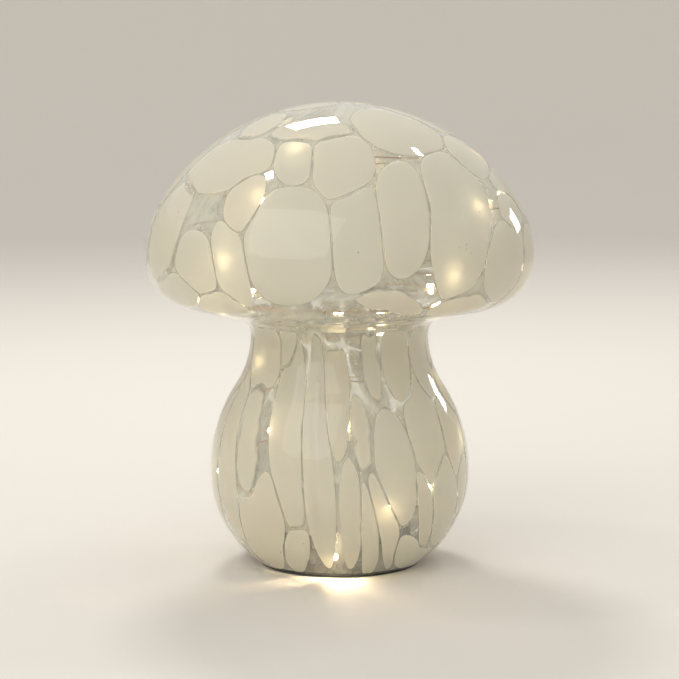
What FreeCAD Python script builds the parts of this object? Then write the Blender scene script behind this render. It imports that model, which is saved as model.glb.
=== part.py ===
"""Mushroom table lamp: one blown-glass body, cap and stem in one, on a push-in battery base.

Millimetres. +Z is up, the origin is the centre of the ring of rubber pads that the lamp stands on, and the
front of the lamp faces -Y. The glass is open at the foot. A round plug closes it: a moulded base with a bay for
three cells, a hinged battery door held by a captive screw, a small timer board with a three-position slide
switch, and a string of lights on a fine wire that springs out against the inside of the glass.
"""
import FreeCAD, Part
import math
import os
import re

import Sketcher

Vector = FreeCAD.Vector
Rotation = FreeCAD.Rotation
Placement = FreeCAD.Placement

# ---------------------------------------------------------------------------------------------- dimensions
# Every size that can be set by itself: name, value (mm, or degrees where the note says so), note.
DIMENSIONS = [
    # the glass, outside; heights are above the glass's own foot
    ("glass_height", 213.5, "foot of the glass to the crown of the cap"),
    ("cap_radius", 90.0, "cap at its widest"),
    ("rim_round", 22.0, "rim of the cap, turning under"),
    ("underside_slope", 13.0, "degrees that the underside falls towards the neck"),
    ("neck_radius", 41.4, "narrowest part of the stem"),
    ("neck_round", 9.0, "hollow between the cap's underside and the neck"),
    ("bulb_radius", 60.7, "stem at its widest"),
    ("bulb_height", 42.0, "where the stem is widest"),
    ("bulb_upper_round", 72.5, "swelling of the stem above its widest line"),
    ("glass_wall", 2.6, "thickness of the blown glass"),
    ("foot_land", 3.8, "ground ring that the glass stands on, opening to outside"),
    ("foot_edge", 0.5, "least height of that ring's inner edge"),
    # how the glass sits on the base
    ("pad_proud", 0.4, "rubber pads below the base"),
    ("pad_depth", 0.6, "rubber pads sunk into the base"),
    ("pad_radius", 3.5, "rubber pads"),
    ("pad_angle", 40.0, "degrees from the X axis to each pad"),
    ("pad_margin", 0.5, "pads inside the round wall's outside"),
    ("pad_play", 0.1, "round each pad in its pocket"),
    ("flange_thickness", 0.8, "edge of the base under the glass"),
    ("flange_inset", 1.2, "flange's edge inside the foot of the glass"),
    ("gasket_thickness", 0.3, "rubber under the foot of the glass"),
    ("gasket_wall", 1.0, "rubber sleeve in the opening of the glass"),
    ("gasket_height", 5.0, "rubber sleeve above the foot of the glass"),
    ("gasket_play", 0.1, "each side of the rubber sleeve"),
    # the moulded base
    ("floor_thickness", 3.6, "floor of the base"),
    ("barrel_wall", 1.6, "round wall of the base"),
    ("barrel_play", 0.3, "between the round wall and what it holds"),
    ("bay_wall", 1.2, "walls of the battery bay"),
    ("bay_side_gap", 0.3, "beside the outer cells"),
    ("bay_roof", 1.4, "roof of the battery bay"),
    ("roof_space", 4.0, "above the bay, for the leads"),
    ("cover_thickness", 1.6, "inner cover"),
    ("cover_skirt", 2.0, "ring under the inner cover"),
    ("cover_skirt_wall", 1.0, "thickness of that ring"),
    ("cover_play", 0.2, "ring inside the round wall"),
    ("cover_boss_radius", 2.4, "posts for the cover's screws"),
    ("cover_boss_gap", 0.3, "those posts beside the board and the round wall"),
    # cells and contacts
    ("cell_radius", 5.25, "each cell"),
    ("cell_length", 44.5, "each cell with its nub"),
    ("nub_radius", 1.9, "positive nub of a cell"),
    ("nub_height", 0.8, "positive nub of a cell"),
    ("cell_bevel", 0.5, "rounded edges of a cell"),
    ("cell_gap", 0.3, "between cells"),
    ("cell_clear", 0.4, "above and below the cells"),
    ("contact_thickness", 0.4, "contact plates"),
    ("contact_gap", 0.05, "between a contact and a cell, spring or wall"),
    ("contact_width", 8.6, "single contact plate"),
    ("contact_side", 0.9, "contact plate inside the width of its cells"),
    ("tab_width", 2.4, "solder tab of a terminal"),
    ("tab_rise", 1.6, "solder tab above the bay's roof"),
    ("spring_length", 4.5, "contact spring, pressed by its cell"),
    ("spring_wire_radius", 0.25, "contact spring's wire"),
    ("spring_wide", 3.4, "contact spring at the plate"),
    ("spring_narrow", 2.3, "contact spring at the cell"),
    # battery door
    ("door_thickness", 1.6, "battery door"),
    ("door_ledge", 1.3, "door beyond the bay's opening"),
    ("door_gap", 0.3, "round the door"),
    ("door_swing_gap", 0.55, "beside the door's hinge edge, which swings through it"),
    ("door_roof_gap", 0.1, "above the door"),
    ("knuckle_radius", 1.4, "barrel along the door's hinge edge"),
    ("knuckle_gap", 0.25, "round that barrel"),
    ("knuckle_offset", 2.6, "hinge line beyond the door's plate"),
    ("knuckle_half", 10.0, "half the length of the hinge barrel"),
    ("trunnion_radius", 0.8, "hinge pins"),
    ("trunnion_length", 1.5, "hinge pins beyond the barrel"),
    ("trunnion_play", 0.06, "hinge pins in their holes"),
    ("door_swing", 95.0, "degrees that the door opens"),
    ("lock_offset", 2.9, "door screw beyond the door's plate"),
    ("lock_tab_half", 4.0, "half the width of the door's screw tab"),
    ("lock_tab_end", 2.4, "screw tab beyond its screw"),
    ("lock_tab_thickness", 2.8, "screw tab"),
    ("groove_depth", 0.7, "grip grooves in the door"),
    ("groove_width", 1.1, "grip grooves in the door"),
    ("groove_pitch", 2.2, "grip grooves in the door"),
    ("groove_inset", 1.9, "first grip groove from the door's edge"),
    ("lock_shank_radius", 1.25, "door screw"),
    ("lock_shank_reach", 4.1, "door screw above its tab"),
    ("lock_head_radius", 2.2, "door screw's head"),
    ("lock_head_height", 1.3, "door screw's head"),
    ("lock_head_sunk", 0.15, "door screw's head above the door's outside"),
    ("lock_play", 0.1, "door screw in its tab"),
    ("lock_boss_radius", 2.6, "post that the door screw enters"),
    ("lock_boss_play", 0.4, "door screw in that post"),
    ("lock_boss_top", 1.0, "that post above its hole"),
    # timer board and switch
    ("board_width", 10.5, "timer board, across"),
    ("board_length", 22.0, "timer board, along"),
    ("board_thickness", 1.0, "timer board"),
    ("board_gap", 1.1, "board to the bay's wall"),
    ("post_radius", 1.8, "posts under the board"),
    ("board_screw_inset", 2.6, "board's screws from its ends"),
    ("switch_case_width", 4.4, "slide switch's steel case"),
    ("switch_case_length", 9.4, "slide switch's steel case"),
    ("switch_case_height", 3.6, "slide switch's steel case"),
    ("seat_gap", 0.05, "flat pieces that rest on each other"),
    ("lever_side", 2.0, "switch lever, square"),
    ("lever_sunk", 1.8, "switch lever inside the case"),
    ("switch_step", 2.0, "travel from off to each other setting"),
    ("slot_play", 0.3, "round the lever, each side"),
    ("knob_width", 5.4, "switch knob, across"),
    ("knob_length", 5.0, "switch knob, along its travel"),
    ("knob_thickness", 1.0, "switch knob"),
    ("knob_recess", 1.3, "hollow that the knob sits in"),
    ("knob_play", 0.1, "knob under the hollow's roof"),
    ("knob_side_play", 0.5, "knob beside the hollow's walls"),
    ("knob_socket", 0.6, "lever's end in the knob"),
    ("knob_groove_depth", 0.25, "grip grooves in the knob"),
    ("knob_groove_width", 0.6, "grip grooves in the knob"),
    ("knob_groove_pitch", 1.4, "grip grooves in the knob"),
    ("board_margin", 0.8, "pieces on the board, from its edge and from each other"),
    ("chip_length", 5.0, "timer chip, along the board"),
    ("chip_width", 3.9, "timer chip, across the board"),
    ("chip_height", 1.5, "timer chip"),
    ("crystal_radius", 1.0, "timer's crystal"),
    ("crystal_length", 5.4, "timer's crystal"),
    ("resistor_length", 2.0, "each resistor"),
    ("resistor_width", 1.25, "each resistor"),
    ("resistor_height", 0.55, "each resistor"),
    # small screws
    ("small_shank_radius", 0.75, "board screws"),
    ("small_head_radius", 1.4, "board screws' heads"),
    ("small_head_height", 1.0, "board screws' heads"),
    ("small_shank_length", 4.0, "board screws"),
    ("cover_shank_radius", 1.0, "cover screws"),
    ("cover_head_radius", 2.1, "cover screws' heads"),
    ("cover_head_height", 1.4, "cover screws' heads"),
    ("cover_shank_length", 7.0, "cover screws"),
    ("thread_play", 0.05, "round each small screw"),
    ("hole_bottom_gap", 0.6, "below each screw's end"),
    # leads and lights
    ("lead_radius", 0.6, "battery leads"),
    ("lead_gap", 0.1, "battery leads beside their terminals and above the bay"),
    ("lead_rise", 1.8, "battery leads' highest stretches above the bay's roof"),
    ("lead_bend", 1.0, "battery leads' bends, out from the straight way"),
    ("red_lead_side", 3.4, "red lead's end beyond the timer chip"),
    ("red_lead_in", 4.3, "red lead's end from the board's inner edge"),
    ("black_lead_side", 2.2, "black lead's end beyond the timer chip"),
    ("black_lead_in", 2.0, "black lead's end from the board's inner edge"),
    ("black_lead_crest", 0.6, "black lead's crest inside the bay's outer wall"),
    ("grommet_radius", 2.0, "rubber grommet in the inner cover"),
    ("grommet_rise", 1.4, "grommet above and below the cover"),
    ("grommet_lip", 0.7, "grommet's lips beyond its hole"),
    ("grommet_taper", 1.3, "grommet's upper lip, narrowing upwards"),
    ("grommet_inset", 1.2, "grommet's hole inside the board's outer edge"),
    ("light_wire_radius", 0.35, "wire of the light string"),
    ("light_gap", 0.6, "between the drops on the light string and the glass"),
    ("light_low_height", 11.0, "light string's lowest loop above the foot of the glass"),
    ("light_pitch", 28.5, "loop to loop, along the wall of the glass"),
    ("light_crown_reach", 52.0, "light string's end to the crown, along the wall of the glass"),
    ("light_edge_gap", 2.5, "light string beside the edge of the base"),
    ("light_edge_rise", 3.0, "light string above the edge of the base"),
    ("light_spacing", 100.0, "from light to light"),
    ("bead_radius", 1.4, "clear drop over each light"),
    ("bead_length", 4.4, "clear drop over each light"),
    ("bead_play", 0.16, "wire in its drop"),
    ("led_length", 1.6, "each light's chip"),
    ("led_width", 0.8, "each light's chip"),
    ("led_height", 0.45, "each light's chip"),
    ("led_gap", 0.03, "round each chip"),
]
# Counts and shares, which no length sets.
WIDEST_SHARE = 0.665  # where the cap is widest, as a share of the glass's height
SHOULDER_SHARE = 0.7  # round of the cap's side above that line, as a share of the cap's height above it
SCREW_SIDE_SHARE = 0.6  # upright side of a screw's head, of its height
SCREW_TOP_SHARE = 0.7  # flat top of a screw's head, of its radius
SLOT_DEPTH_SHARE = 0.5  # slot in a screw's head, of its height
SLOT_HALF_SHARE = 0.25  # half the slot's width, of the head's height
WIRE_FALL = 0.35  # fall of the light string over the base's edge, for each unit along it
CELL_COUNT = 3
RESISTOR_COUNT = 2
SPRING_TURNS = 4
DOOR_GROOVES = 4
KNOB_GROOVES = 3
FIRST_LOOP_ANGLE = -93.5  # degrees: where the string reaches its lowest loop, at the front of the lamp

# Sizes that follow from those: name, formula, note. A formula may use any name above it.
DERIVED = [
    # cells, bay and door
    ("cell_pitch", "2 * cell_radius + cell_gap", "cell to cell"),
    ("bay_half_width", f"{CELL_COUNT} * cell_pitch / 2 + bay_side_gap", "inside of the bay"),
    ("bay_half_length",
     "(cell_length + spring_length + 2 * contact_thickness + 4 * contact_gap) / 2", "inside of the bay"),
    ("door_half_width", "bay_half_width + door_ledge", "door's plate"),
    ("door_half_length", "bay_half_length + door_ledge", "door's plate"),
    ("hinge_y", "-(door_half_length + knuckle_offset)", "hinge line"),
    ("lock_y", "door_half_length + lock_offset", "door screw"),
    ("base_z", "pad_proud", "underside of the base"),
    ("hinge_z", "base_z + knuckle_radius", "hinge line"),
    ("door_top_z", "base_z + door_thickness", "inside face of the door"),
    ("recess_top_z", "door_top_z + door_roof_gap", "ledge that the door closes on"),
    ("tab_top_z", "base_z + lock_tab_thickness", "top of the screw tab"),
    ("floor_top_z", "base_z + floor_thickness", "floor of the base, inside"),
    ("cell_z", "door_top_z + cell_clear + cell_radius", "middle of the cells"),
    ("roof_z", "cell_z + cell_radius + cell_clear", "underside of the bay's roof"),
    ("roof_top_z", "roof_z + bay_roof", "top of the bay's roof"),
    ("rim_z", "roof_top_z + roof_space", "rim of the round wall"),
    ("cover_top_z", "rim_z + cover_thickness", "top of the inner cover"),
    # board and switch
    ("board_x", "bay_half_width + bay_wall + board_gap", "board's inner edge"),
    ("board_mid_x", "board_x + board_width / 2", "middle of the board"),
    ("board_z", "floor_top_z + switch_case_height + 2 * seat_gap", "underside of the board"),
    ("board_top_z", "board_z + board_thickness", "top of the board"),
    ("board_screw_y", "board_length / 2 - board_screw_inset", "board's screws"),
    ("slot_half_length", "lever_side / 2 + switch_step + slot_play", "slot for the lever"),
    ("slot_half_width", "lever_side / 2 + slot_play", "slot for the lever"),
    ("recess_half_length", "knob_length / 2 + switch_step + knob_side_play", "hollow for the knob"),
    ("recess_half_width", "knob_width / 2 + knob_side_play", "hollow for the knob"),
    ("switch_y", "switch_step", "lever's place when the lamp is on, as it is at rest"),
    ("knob_top_z", "base_z + knob_recess - knob_play", "top of the knob"),
    ("knob_z", "knob_top_z - knob_thickness", "underside of the knob"),
    # round wall, flange, glass foot
    ("board_reach", "sqrt((board_x + board_width)^2 + (board_length / 2)^2)", "board's outer corner"),
    ("bay_reach", "sqrt((bay_half_width + bay_wall)^2 + (bay_half_length + bay_wall)^2)", "bay's outer corner"),
    ("knuckle_reach", "sqrt((knuckle_half + knuckle_gap)^2 + (knuckle_radius + knuckle_gap - hinge_y)^2)",
     "corner of the hinge's hollow"),
    ("barrel_inner", "max(board_reach; bay_reach; lock_y + lock_boss_radius; knuckle_reach) + barrel_play",
     "round wall, inside"),
    ("barrel_radius", "barrel_inner + barrel_wall", "round wall, outside"),
    ("opening_radius", "barrel_radius + gasket_wall + 2 * gasket_play", "opening in the foot of the glass"),
    ("foot_radius", "opening_radius + foot_land", "outside of the foot of the glass"),
    ("flange_radius", "foot_radius - flange_inset", "edge of the base"),
    ("pad_circle", "barrel_radius - pad_radius - pad_margin", "circle of the pads"),
    ("cover_boss_x", "board_x + cover_boss_radius + cover_boss_gap", "posts for the cover's screws"),
    ("cover_boss_y", "sqrt((barrel_inner - cover_boss_radius - cover_boss_gap)^2 - cover_boss_x^2)",
     "the same posts"),
    ("grommet_x", "board_x + board_width - grommet_radius - grommet_inset", "light string's way out"),
    ("grommet_y", "-(board_screw_y - small_head_radius - grommet_radius)", "light string's way out"),
    # heights of the glass
    ("foot_z", "base_z + flange_thickness + gasket_thickness", "foot of the glass"),
    ("crown_z", "foot_z + glass_height", "crown of the cap"),
    ("widest_z", f"foot_z + {WIDEST_SHARE} * glass_height", "cap at its widest"),
    ("bulb_z", "foot_z + bulb_height", "stem at its widest"),
    # centres of the arcs of the outside, which the inside shares
    ("crown_rise", "crown_z - widest_z", "crown above the widest line"),
    ("shoulder_round", f"{SHOULDER_SHARE} * crown_rise", "side of the cap above its widest line"),
    ("shoulder_r", "cap_radius - shoulder_round", "shoulder arc's centre"),
    ("crown_round",
     "(shoulder_r^2 + crown_rise^2 - shoulder_round^2) / (2 * (crown_rise - shoulder_round))", "crown arc"),
    ("crown_centre_z", "crown_z - crown_round", "crown arc's centre"),
    ("crown_cos", "shoulder_r / (crown_round - shoulder_round)", "where crown and shoulder meet"),
    ("crown_sin", "(widest_z - crown_centre_z) / (crown_round - shoulder_round)", "the same"),
    ("rim_r", "cap_radius - rim_round", "rim arc's centre"),
    ("slope_sin", "sin(underside_slope)", "underside"),
    ("slope_cos", "cos(underside_slope)", "underside"),
    ("rim_end_r", "rim_r + rim_round * slope_sin", "where rim and underside meet"),
    ("rim_end_z", "widest_z - rim_round * slope_cos", "the same"),
    ("hollow_r", "neck_radius + neck_round", "neck arc's centre"),
    ("hollow_start_r", "hollow_r - neck_round * slope_sin", "where underside and neck arc meet"),
    ("neck_z", "rim_end_z - (rim_end_r - hollow_start_r) * slope_sin / slope_cos - neck_round * slope_cos",
     "neck at its narrowest"),
    ("swell", "bulb_radius - neck_radius", "neck to the widest part of the stem"),
    ("stem_rise", "neck_z - bulb_z", "the same, in height"),
    ("stem_rounds", "(swell^2 + stem_rise^2) / (2 * swell)", "both arcs of the stem together"),
    ("stem_upper_round", "stem_rounds - bulb_upper_round", "waist arc"),
    ("waist_r", "neck_radius + stem_upper_round", "waist arc's centre"),
    ("bulb_r", "bulb_radius - bulb_upper_round", "swelling arc's centre"),
    ("turn_cos", "(waist_r - bulb_r) / stem_rounds", "where waist and swelling meet"),
    ("turn_sin", "stem_rise / stem_rounds", "the same"),
    ("foot_in", "bulb_radius - foot_radius", "widest part of the stem to the foot"),
    ("bulb_lower_round", "(foot_in^2 + bulb_height^2) / (2 * foot_in)", "stem below its widest line"),
    ("lower_r", "bulb_radius - bulb_lower_round", "that arc's centre"),
    ("opening_z",
     "max(bulb_z - sqrt((bulb_lower_round - glass_wall)^2 - (opening_radius - lower_r)^2); foot_z + foot_edge)",
     "top of the ground edge in the opening"),
    ("opening_top_r", "lower_r + sqrt((bulb_lower_round - glass_wall)^2 - (bulb_z - opening_z)^2)", "the same"),
]

# --------------------------------------------------------------------------------------- document and sheet
doc = FreeCAD.newDocument("mushroom_lamp")
sheet = doc.addObject("Spreadsheet::Sheet", "dims")
for row, (name, size, note) in enumerate(DIMENSIONS, start=1):
    sheet.set(f"A{row}", name)
    sheet.set(f"B{row}", str(size))
    sheet.set(f"C{row}", note)
    sheet.setAlias(f"B{row}", name)
doc.recompute()

worked = doc.addObject("App::VarSet", "worked")
OWNERS = {name: "dims" for name, _, _ in DIMENSIONS}
WORD = re.compile(r"[a-z_]+[a-z0-9_]*")


def bound(formula):
    """The formula with each size's name led by the object that holds it."""
    return WORD.sub(lambda m: f"{OWNERS[m[0]]}.{m[0]}" if m[0] in OWNERS else m[0], str(formula))


for name, formula, note in DERIVED:
    worked.addProperty("App::PropertyFloat", name, "sizes", note)
    worked.setExpression(name, bound(formula))
    OWNERS[name] = "worked"
doc.recompute()


def size(formula):
    """A size, or a formula of sizes, as a number."""
    return float(sheet.evalExpression(bound(formula)))


# ----------------------------------------------------------------------------------------- sketch and feature
def new_body(label):
    body = doc.addObject("PartDesign::Body", label)
    body.Label = label
    return body


def new_sketch(body, name, plane, height):
    """An empty sketch on one of the body's own origin planes, raised by a formula."""
    sketch = body.newObject("Sketcher::SketchObject", f"{body.Name}_{name}")
    support = [f for f in body.Origin.OriginFeatures if f.Role == plane][0]
    sketch.AttachmentSupport = [(support, "")]
    sketch.MapMode = "FlatFace"
    if height is not None:
        sketch.setExpression("AttachmentOffset.Base.z", bound(height))
    sketch.Visibility = False
    return sketch


def pin_value(sketch, kind, *where):
    """Adds a dimension whose value is the formula given last."""
    *places, formula = where
    index = sketch.addConstraint(Sketcher.Constraint(kind, *places, size(formula)))
    sketch.setExpression(f"Constraints[{index}]", bound(formula))


def pin_point(sketch, geometry, point, x, y):
    """Fixes a point at (x, y), two formulas, from the sketch's origin."""
    if str(x) == "0":
        sketch.addConstraint(Sketcher.Constraint("PointOnObject", geometry, point, -2))
    else:
        pin_value(sketch, "DistanceX", -1, 1, geometry, point, x)
    if str(y) == "0":
        sketch.addConstraint(Sketcher.Constraint("PointOnObject", geometry, point, -1))
    else:
        pin_value(sketch, "DistanceY", -1, 1, geometry, point, y)


def arc_between(start, end, centre, turning_left):
    """The arc of a circle from start to end, and its ends in the order that a sketch counts them."""
    radius = (start - centre).Length
    first, last = (start, end) if turning_left else (end, start)
    low = math.atan2(first.y - centre.y, first.x - centre.x)
    high = math.atan2(last.y - centre.y, last.x - centre.x)
    if high <= low:
        high += 2 * math.pi
    circle = Part.Circle(centre, Vector(0, 0, 1), radius)
    return Part.ArcOfCircle(circle, low, high), ((1, 2) if turning_left else (2, 1))


def add_outline(sketch, corners):
    """A closed outline. Each corner is (x, y), or (x, y, ("left" or "right", centre_x, centre_y, radius)) where
    an arc that turns that way leads to the next corner. All sizes are formulas."""
    points = [Vector(size(c[0]), size(c[1]), 0) for c in corners]
    first_index = sketch.GeometryCount
    ends = []
    for i, corner in enumerate(corners):
        start, end = points[i], points[(i + 1) % len(points)]
        if len(corner) == 2:
            sketch.addGeometry(Part.LineSegment(start, end), False)
            ends.append((1, 2))
        else:
            way, centre_x, centre_y, _ = corner[2]
            arc, order = arc_between(start, end, Vector(size(centre_x), size(centre_y), 0), way == "left")
            sketch.addGeometry(arc, False)
            ends.append(order)
    for i, corner in enumerate(corners):
        here, following = first_index + i, first_index + (i + 1) % len(corners)
        next_start = ends[(i + 1) % len(corners)][0]
        sketch.addConstraint(Sketcher.Constraint("Coincident", here, ends[i][1], following, next_start))
        pin_point(sketch, here, ends[i][0], corner[0], corner[1])
        if len(corner) == 3:
            pin_value(sketch, "Radius", here, corner[2][3])


def add_circle(sketch, x, y, radius):
    index = sketch.addGeometry(Part.Circle(Vector(size(x), size(y), 0), Vector(0, 0, 1), size(radius)), False)
    pin_point(sketch, index, 3, x, y)
    pin_value(sketch, "Radius", index, radius)


def box_corners(low_x, high_x, low_y, high_y):
    return [(low_x, low_y), (high_x, low_y), (high_x, high_y), (low_x, high_y)]


def revolve(body, corners, name="profile"):
    """Turns an outline of (radius, height) corners right round Z."""
    sketch = new_sketch(body, name, "XZ_Plane", None)
    add_outline(sketch, corners)
    turned = body.newObject("PartDesign::Revolution", f"{body.Name}_{name}_turned")
    turned.Profile = sketch
    turned.ReferenceAxis = (sketch, ["V_Axis"])
    turned.Angle = 360
    doc.recompute()
    return turned


def extrude(body, name, base, rise, outlines=(), circles=(), cut=False):
    """Pads, or with cut pockets, what the outlines and circles enclose, upwards from base by rise."""
    sketch = new_sketch(body, name, "XY_Plane", base)
    for corners in outlines:
        add_outline(sketch, corners)
    for x, y, radius in circles:
        add_circle(sketch, x, y, radius)
    before = body.Shape.Volume if body.Tip else 0.0
    made = body.newObject("PartDesign::Pocket" if cut else "PartDesign::Pad", f"{body.Name}_{name}_made")
    made.Profile = sketch
    made.Type = 0
    made.setExpression("Length", bound(rise))
    made.Reversed = cut
    doc.recompute()
    grew = body.Shape.Volume - before
    if (grew >= 0) if cut else (grew <= 0):
        raise ValueError(f"{body.Label}: {name} changed nothing")
    return made


def hinge_bar(body, name, half_length, radius, cut=False):
    """Pads, or with cut pockets, a round bar along the battery door's hinge line, the same on both sides."""
    sketch = new_sketch(body, name, "YZ_Plane", None)
    add_circle(sketch, "hinge_y", "hinge_z", radius)
    made = body.newObject("PartDesign::Pocket" if cut else "PartDesign::Pad", f"{body.Name}_{name}_made")
    made.Profile = sketch
    made.Type = 0
    made.Midplane = True
    made.setExpression("Length", bound(f"2 * ({half_length})"))
    doc.recompute()


def mirrored(value):
    """A formula and its opposite."""
    return (value, f"-({value})")


def place(obj, x="0", y="0", z="0", turn=None):
    """Puts a sub-part at a point given by formulas, turned about an axis by degrees."""
    if turn:
        axis, degrees = turn
        obj.Placement = Placement(Vector(0, 0, 0), Rotation(axis, degrees))
    for key, formula in zip("xyz", (x, y, z)):
        obj.setExpression(f"Placement.Base.{key}", bound(formula))


def box(label, x, y, z, length, width, height):
    """A block from its lowest corner."""
    block = doc.addObject("Part::Box", label)
    block.Label = label
    block.setExpression("Length", bound(length))
    block.setExpression("Width", bound(width))
    block.setExpression("Height", bound(height))
    place(block, x, y, z)
    return block


def shaped(label, shape):
    """A sub-part whose shape comes from a curve that no sketch holds."""
    feature = doc.addObject("Part::Feature", label)
    feature.Label = label
    feature.Shape = shape
    return feature


# -------------------------------------------------------------------------------------------------- the glass
def wall_line(depth, end):
    """The glass's profile at a depth under its outer surface, from the crown down to an end on its lowest arc.

    Every depth shares the arcs' centres, so the lines stay parallel. Corners are those of add_outline.
    """
    bulging, hollow = f"- ({depth})", f"+ ({depth})"
    return [
        ("0", f"crown_z {bulging}", ("right", "0", "crown_centre_z", f"crown_round {bulging}")),
        (f"shoulder_r + (shoulder_round {bulging}) * crown_cos",
         f"widest_z + (shoulder_round {bulging}) * crown_sin",
         ("right", "shoulder_r", "widest_z", f"shoulder_round {bulging}")),
        (f"cap_radius {bulging}", "widest_z", ("right", "rim_r", "widest_z", f"rim_round {bulging}")),
        (f"rim_r + (rim_round {bulging}) * slope_sin", f"widest_z - (rim_round {bulging}) * slope_cos"),
        (f"hollow_r - (neck_round {hollow}) * slope_sin", f"neck_z + (neck_round {hollow}) * slope_cos",
         ("left", "hollow_r", "neck_z", f"neck_round {hollow}")),
        (f"neck_radius {bulging}", "neck_z", ("left", "waist_r", "neck_z", f"stem_upper_round {hollow}")),
        (f"bulb_r + (bulb_upper_round {bulging}) * turn_cos",
         f"bulb_z + (bulb_upper_round {bulging}) * turn_sin",
         ("right", "bulb_r", "bulb_z", f"bulb_upper_round {bulging}")),
        (f"bulb_radius {bulging}", "bulb_z", ("right", "lower_r", "bulb_z", f"bulb_lower_round {bulging}")),
        end,
    ]


def turned_back(line):
    """The same line from its other end."""
    other = {"right": "left", "left": "right"}
    back = [line[-1]]
    for corner in reversed(line[:-1]):
        if len(corner) == 3:
            way, *arc = corner[2]
            back[-1] = (*back[-1][:2], (other[way], *arc))
        back.append(corner[:2])
    return back


def make_glass():
    """One blown body: crown, shoulder, rolled rim, underside, neck, swelling stem and ground foot."""
    outside = wall_line("0", ("foot_radius", "foot_z"))
    inside = wall_line("glass_wall", ("opening_top_r", "opening_z"))
    body = new_body("glass_body")
    revolve(body, outside + [("opening_radius", "foot_z")] + turned_back(inside))
    return body


def make_gasket():
    """Rubber sleeve in the opening of the glass, with a thin lip under its foot."""
    low = "base_z + flange_thickness"
    body = new_body("base_gasket")
    revolve(body, [
        ("barrel_radius + gasket_play", low),
        ("flange_radius - flange_inset / 2", low),
        ("flange_radius - flange_inset / 2", "foot_z"),
        ("opening_radius - gasket_play", "foot_z"),
        ("opening_radius - gasket_play", "foot_z + gasket_height"),
        ("barrel_radius + gasket_play", "foot_z + gasket_height"),
    ])
    return body


# --------------------------------------------------------------------------------------------- moulded base
def pad_places():
    """The four rubber pads' centres, as formulas."""
    return [(f"{sx} * pad_circle * cos(pad_angle)", f"{sy} * pad_circle * sin(pad_angle)")
            for sx in (1, -1) for sy in (1, -1)]


def cover_boss_places():
    return [(x, y) for x in mirrored("cover_boss_x") for y in mirrored("cover_boss_y")]


def board_screw_places():
    return [("board_mid_x", y) for y in mirrored("board_screw_y")]


def terminal_x(side):
    """Middle of an outer cell: side is 1 for the cell beside the board and -1 for the far one."""
    return f"{side} * cell_pitch"


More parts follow.
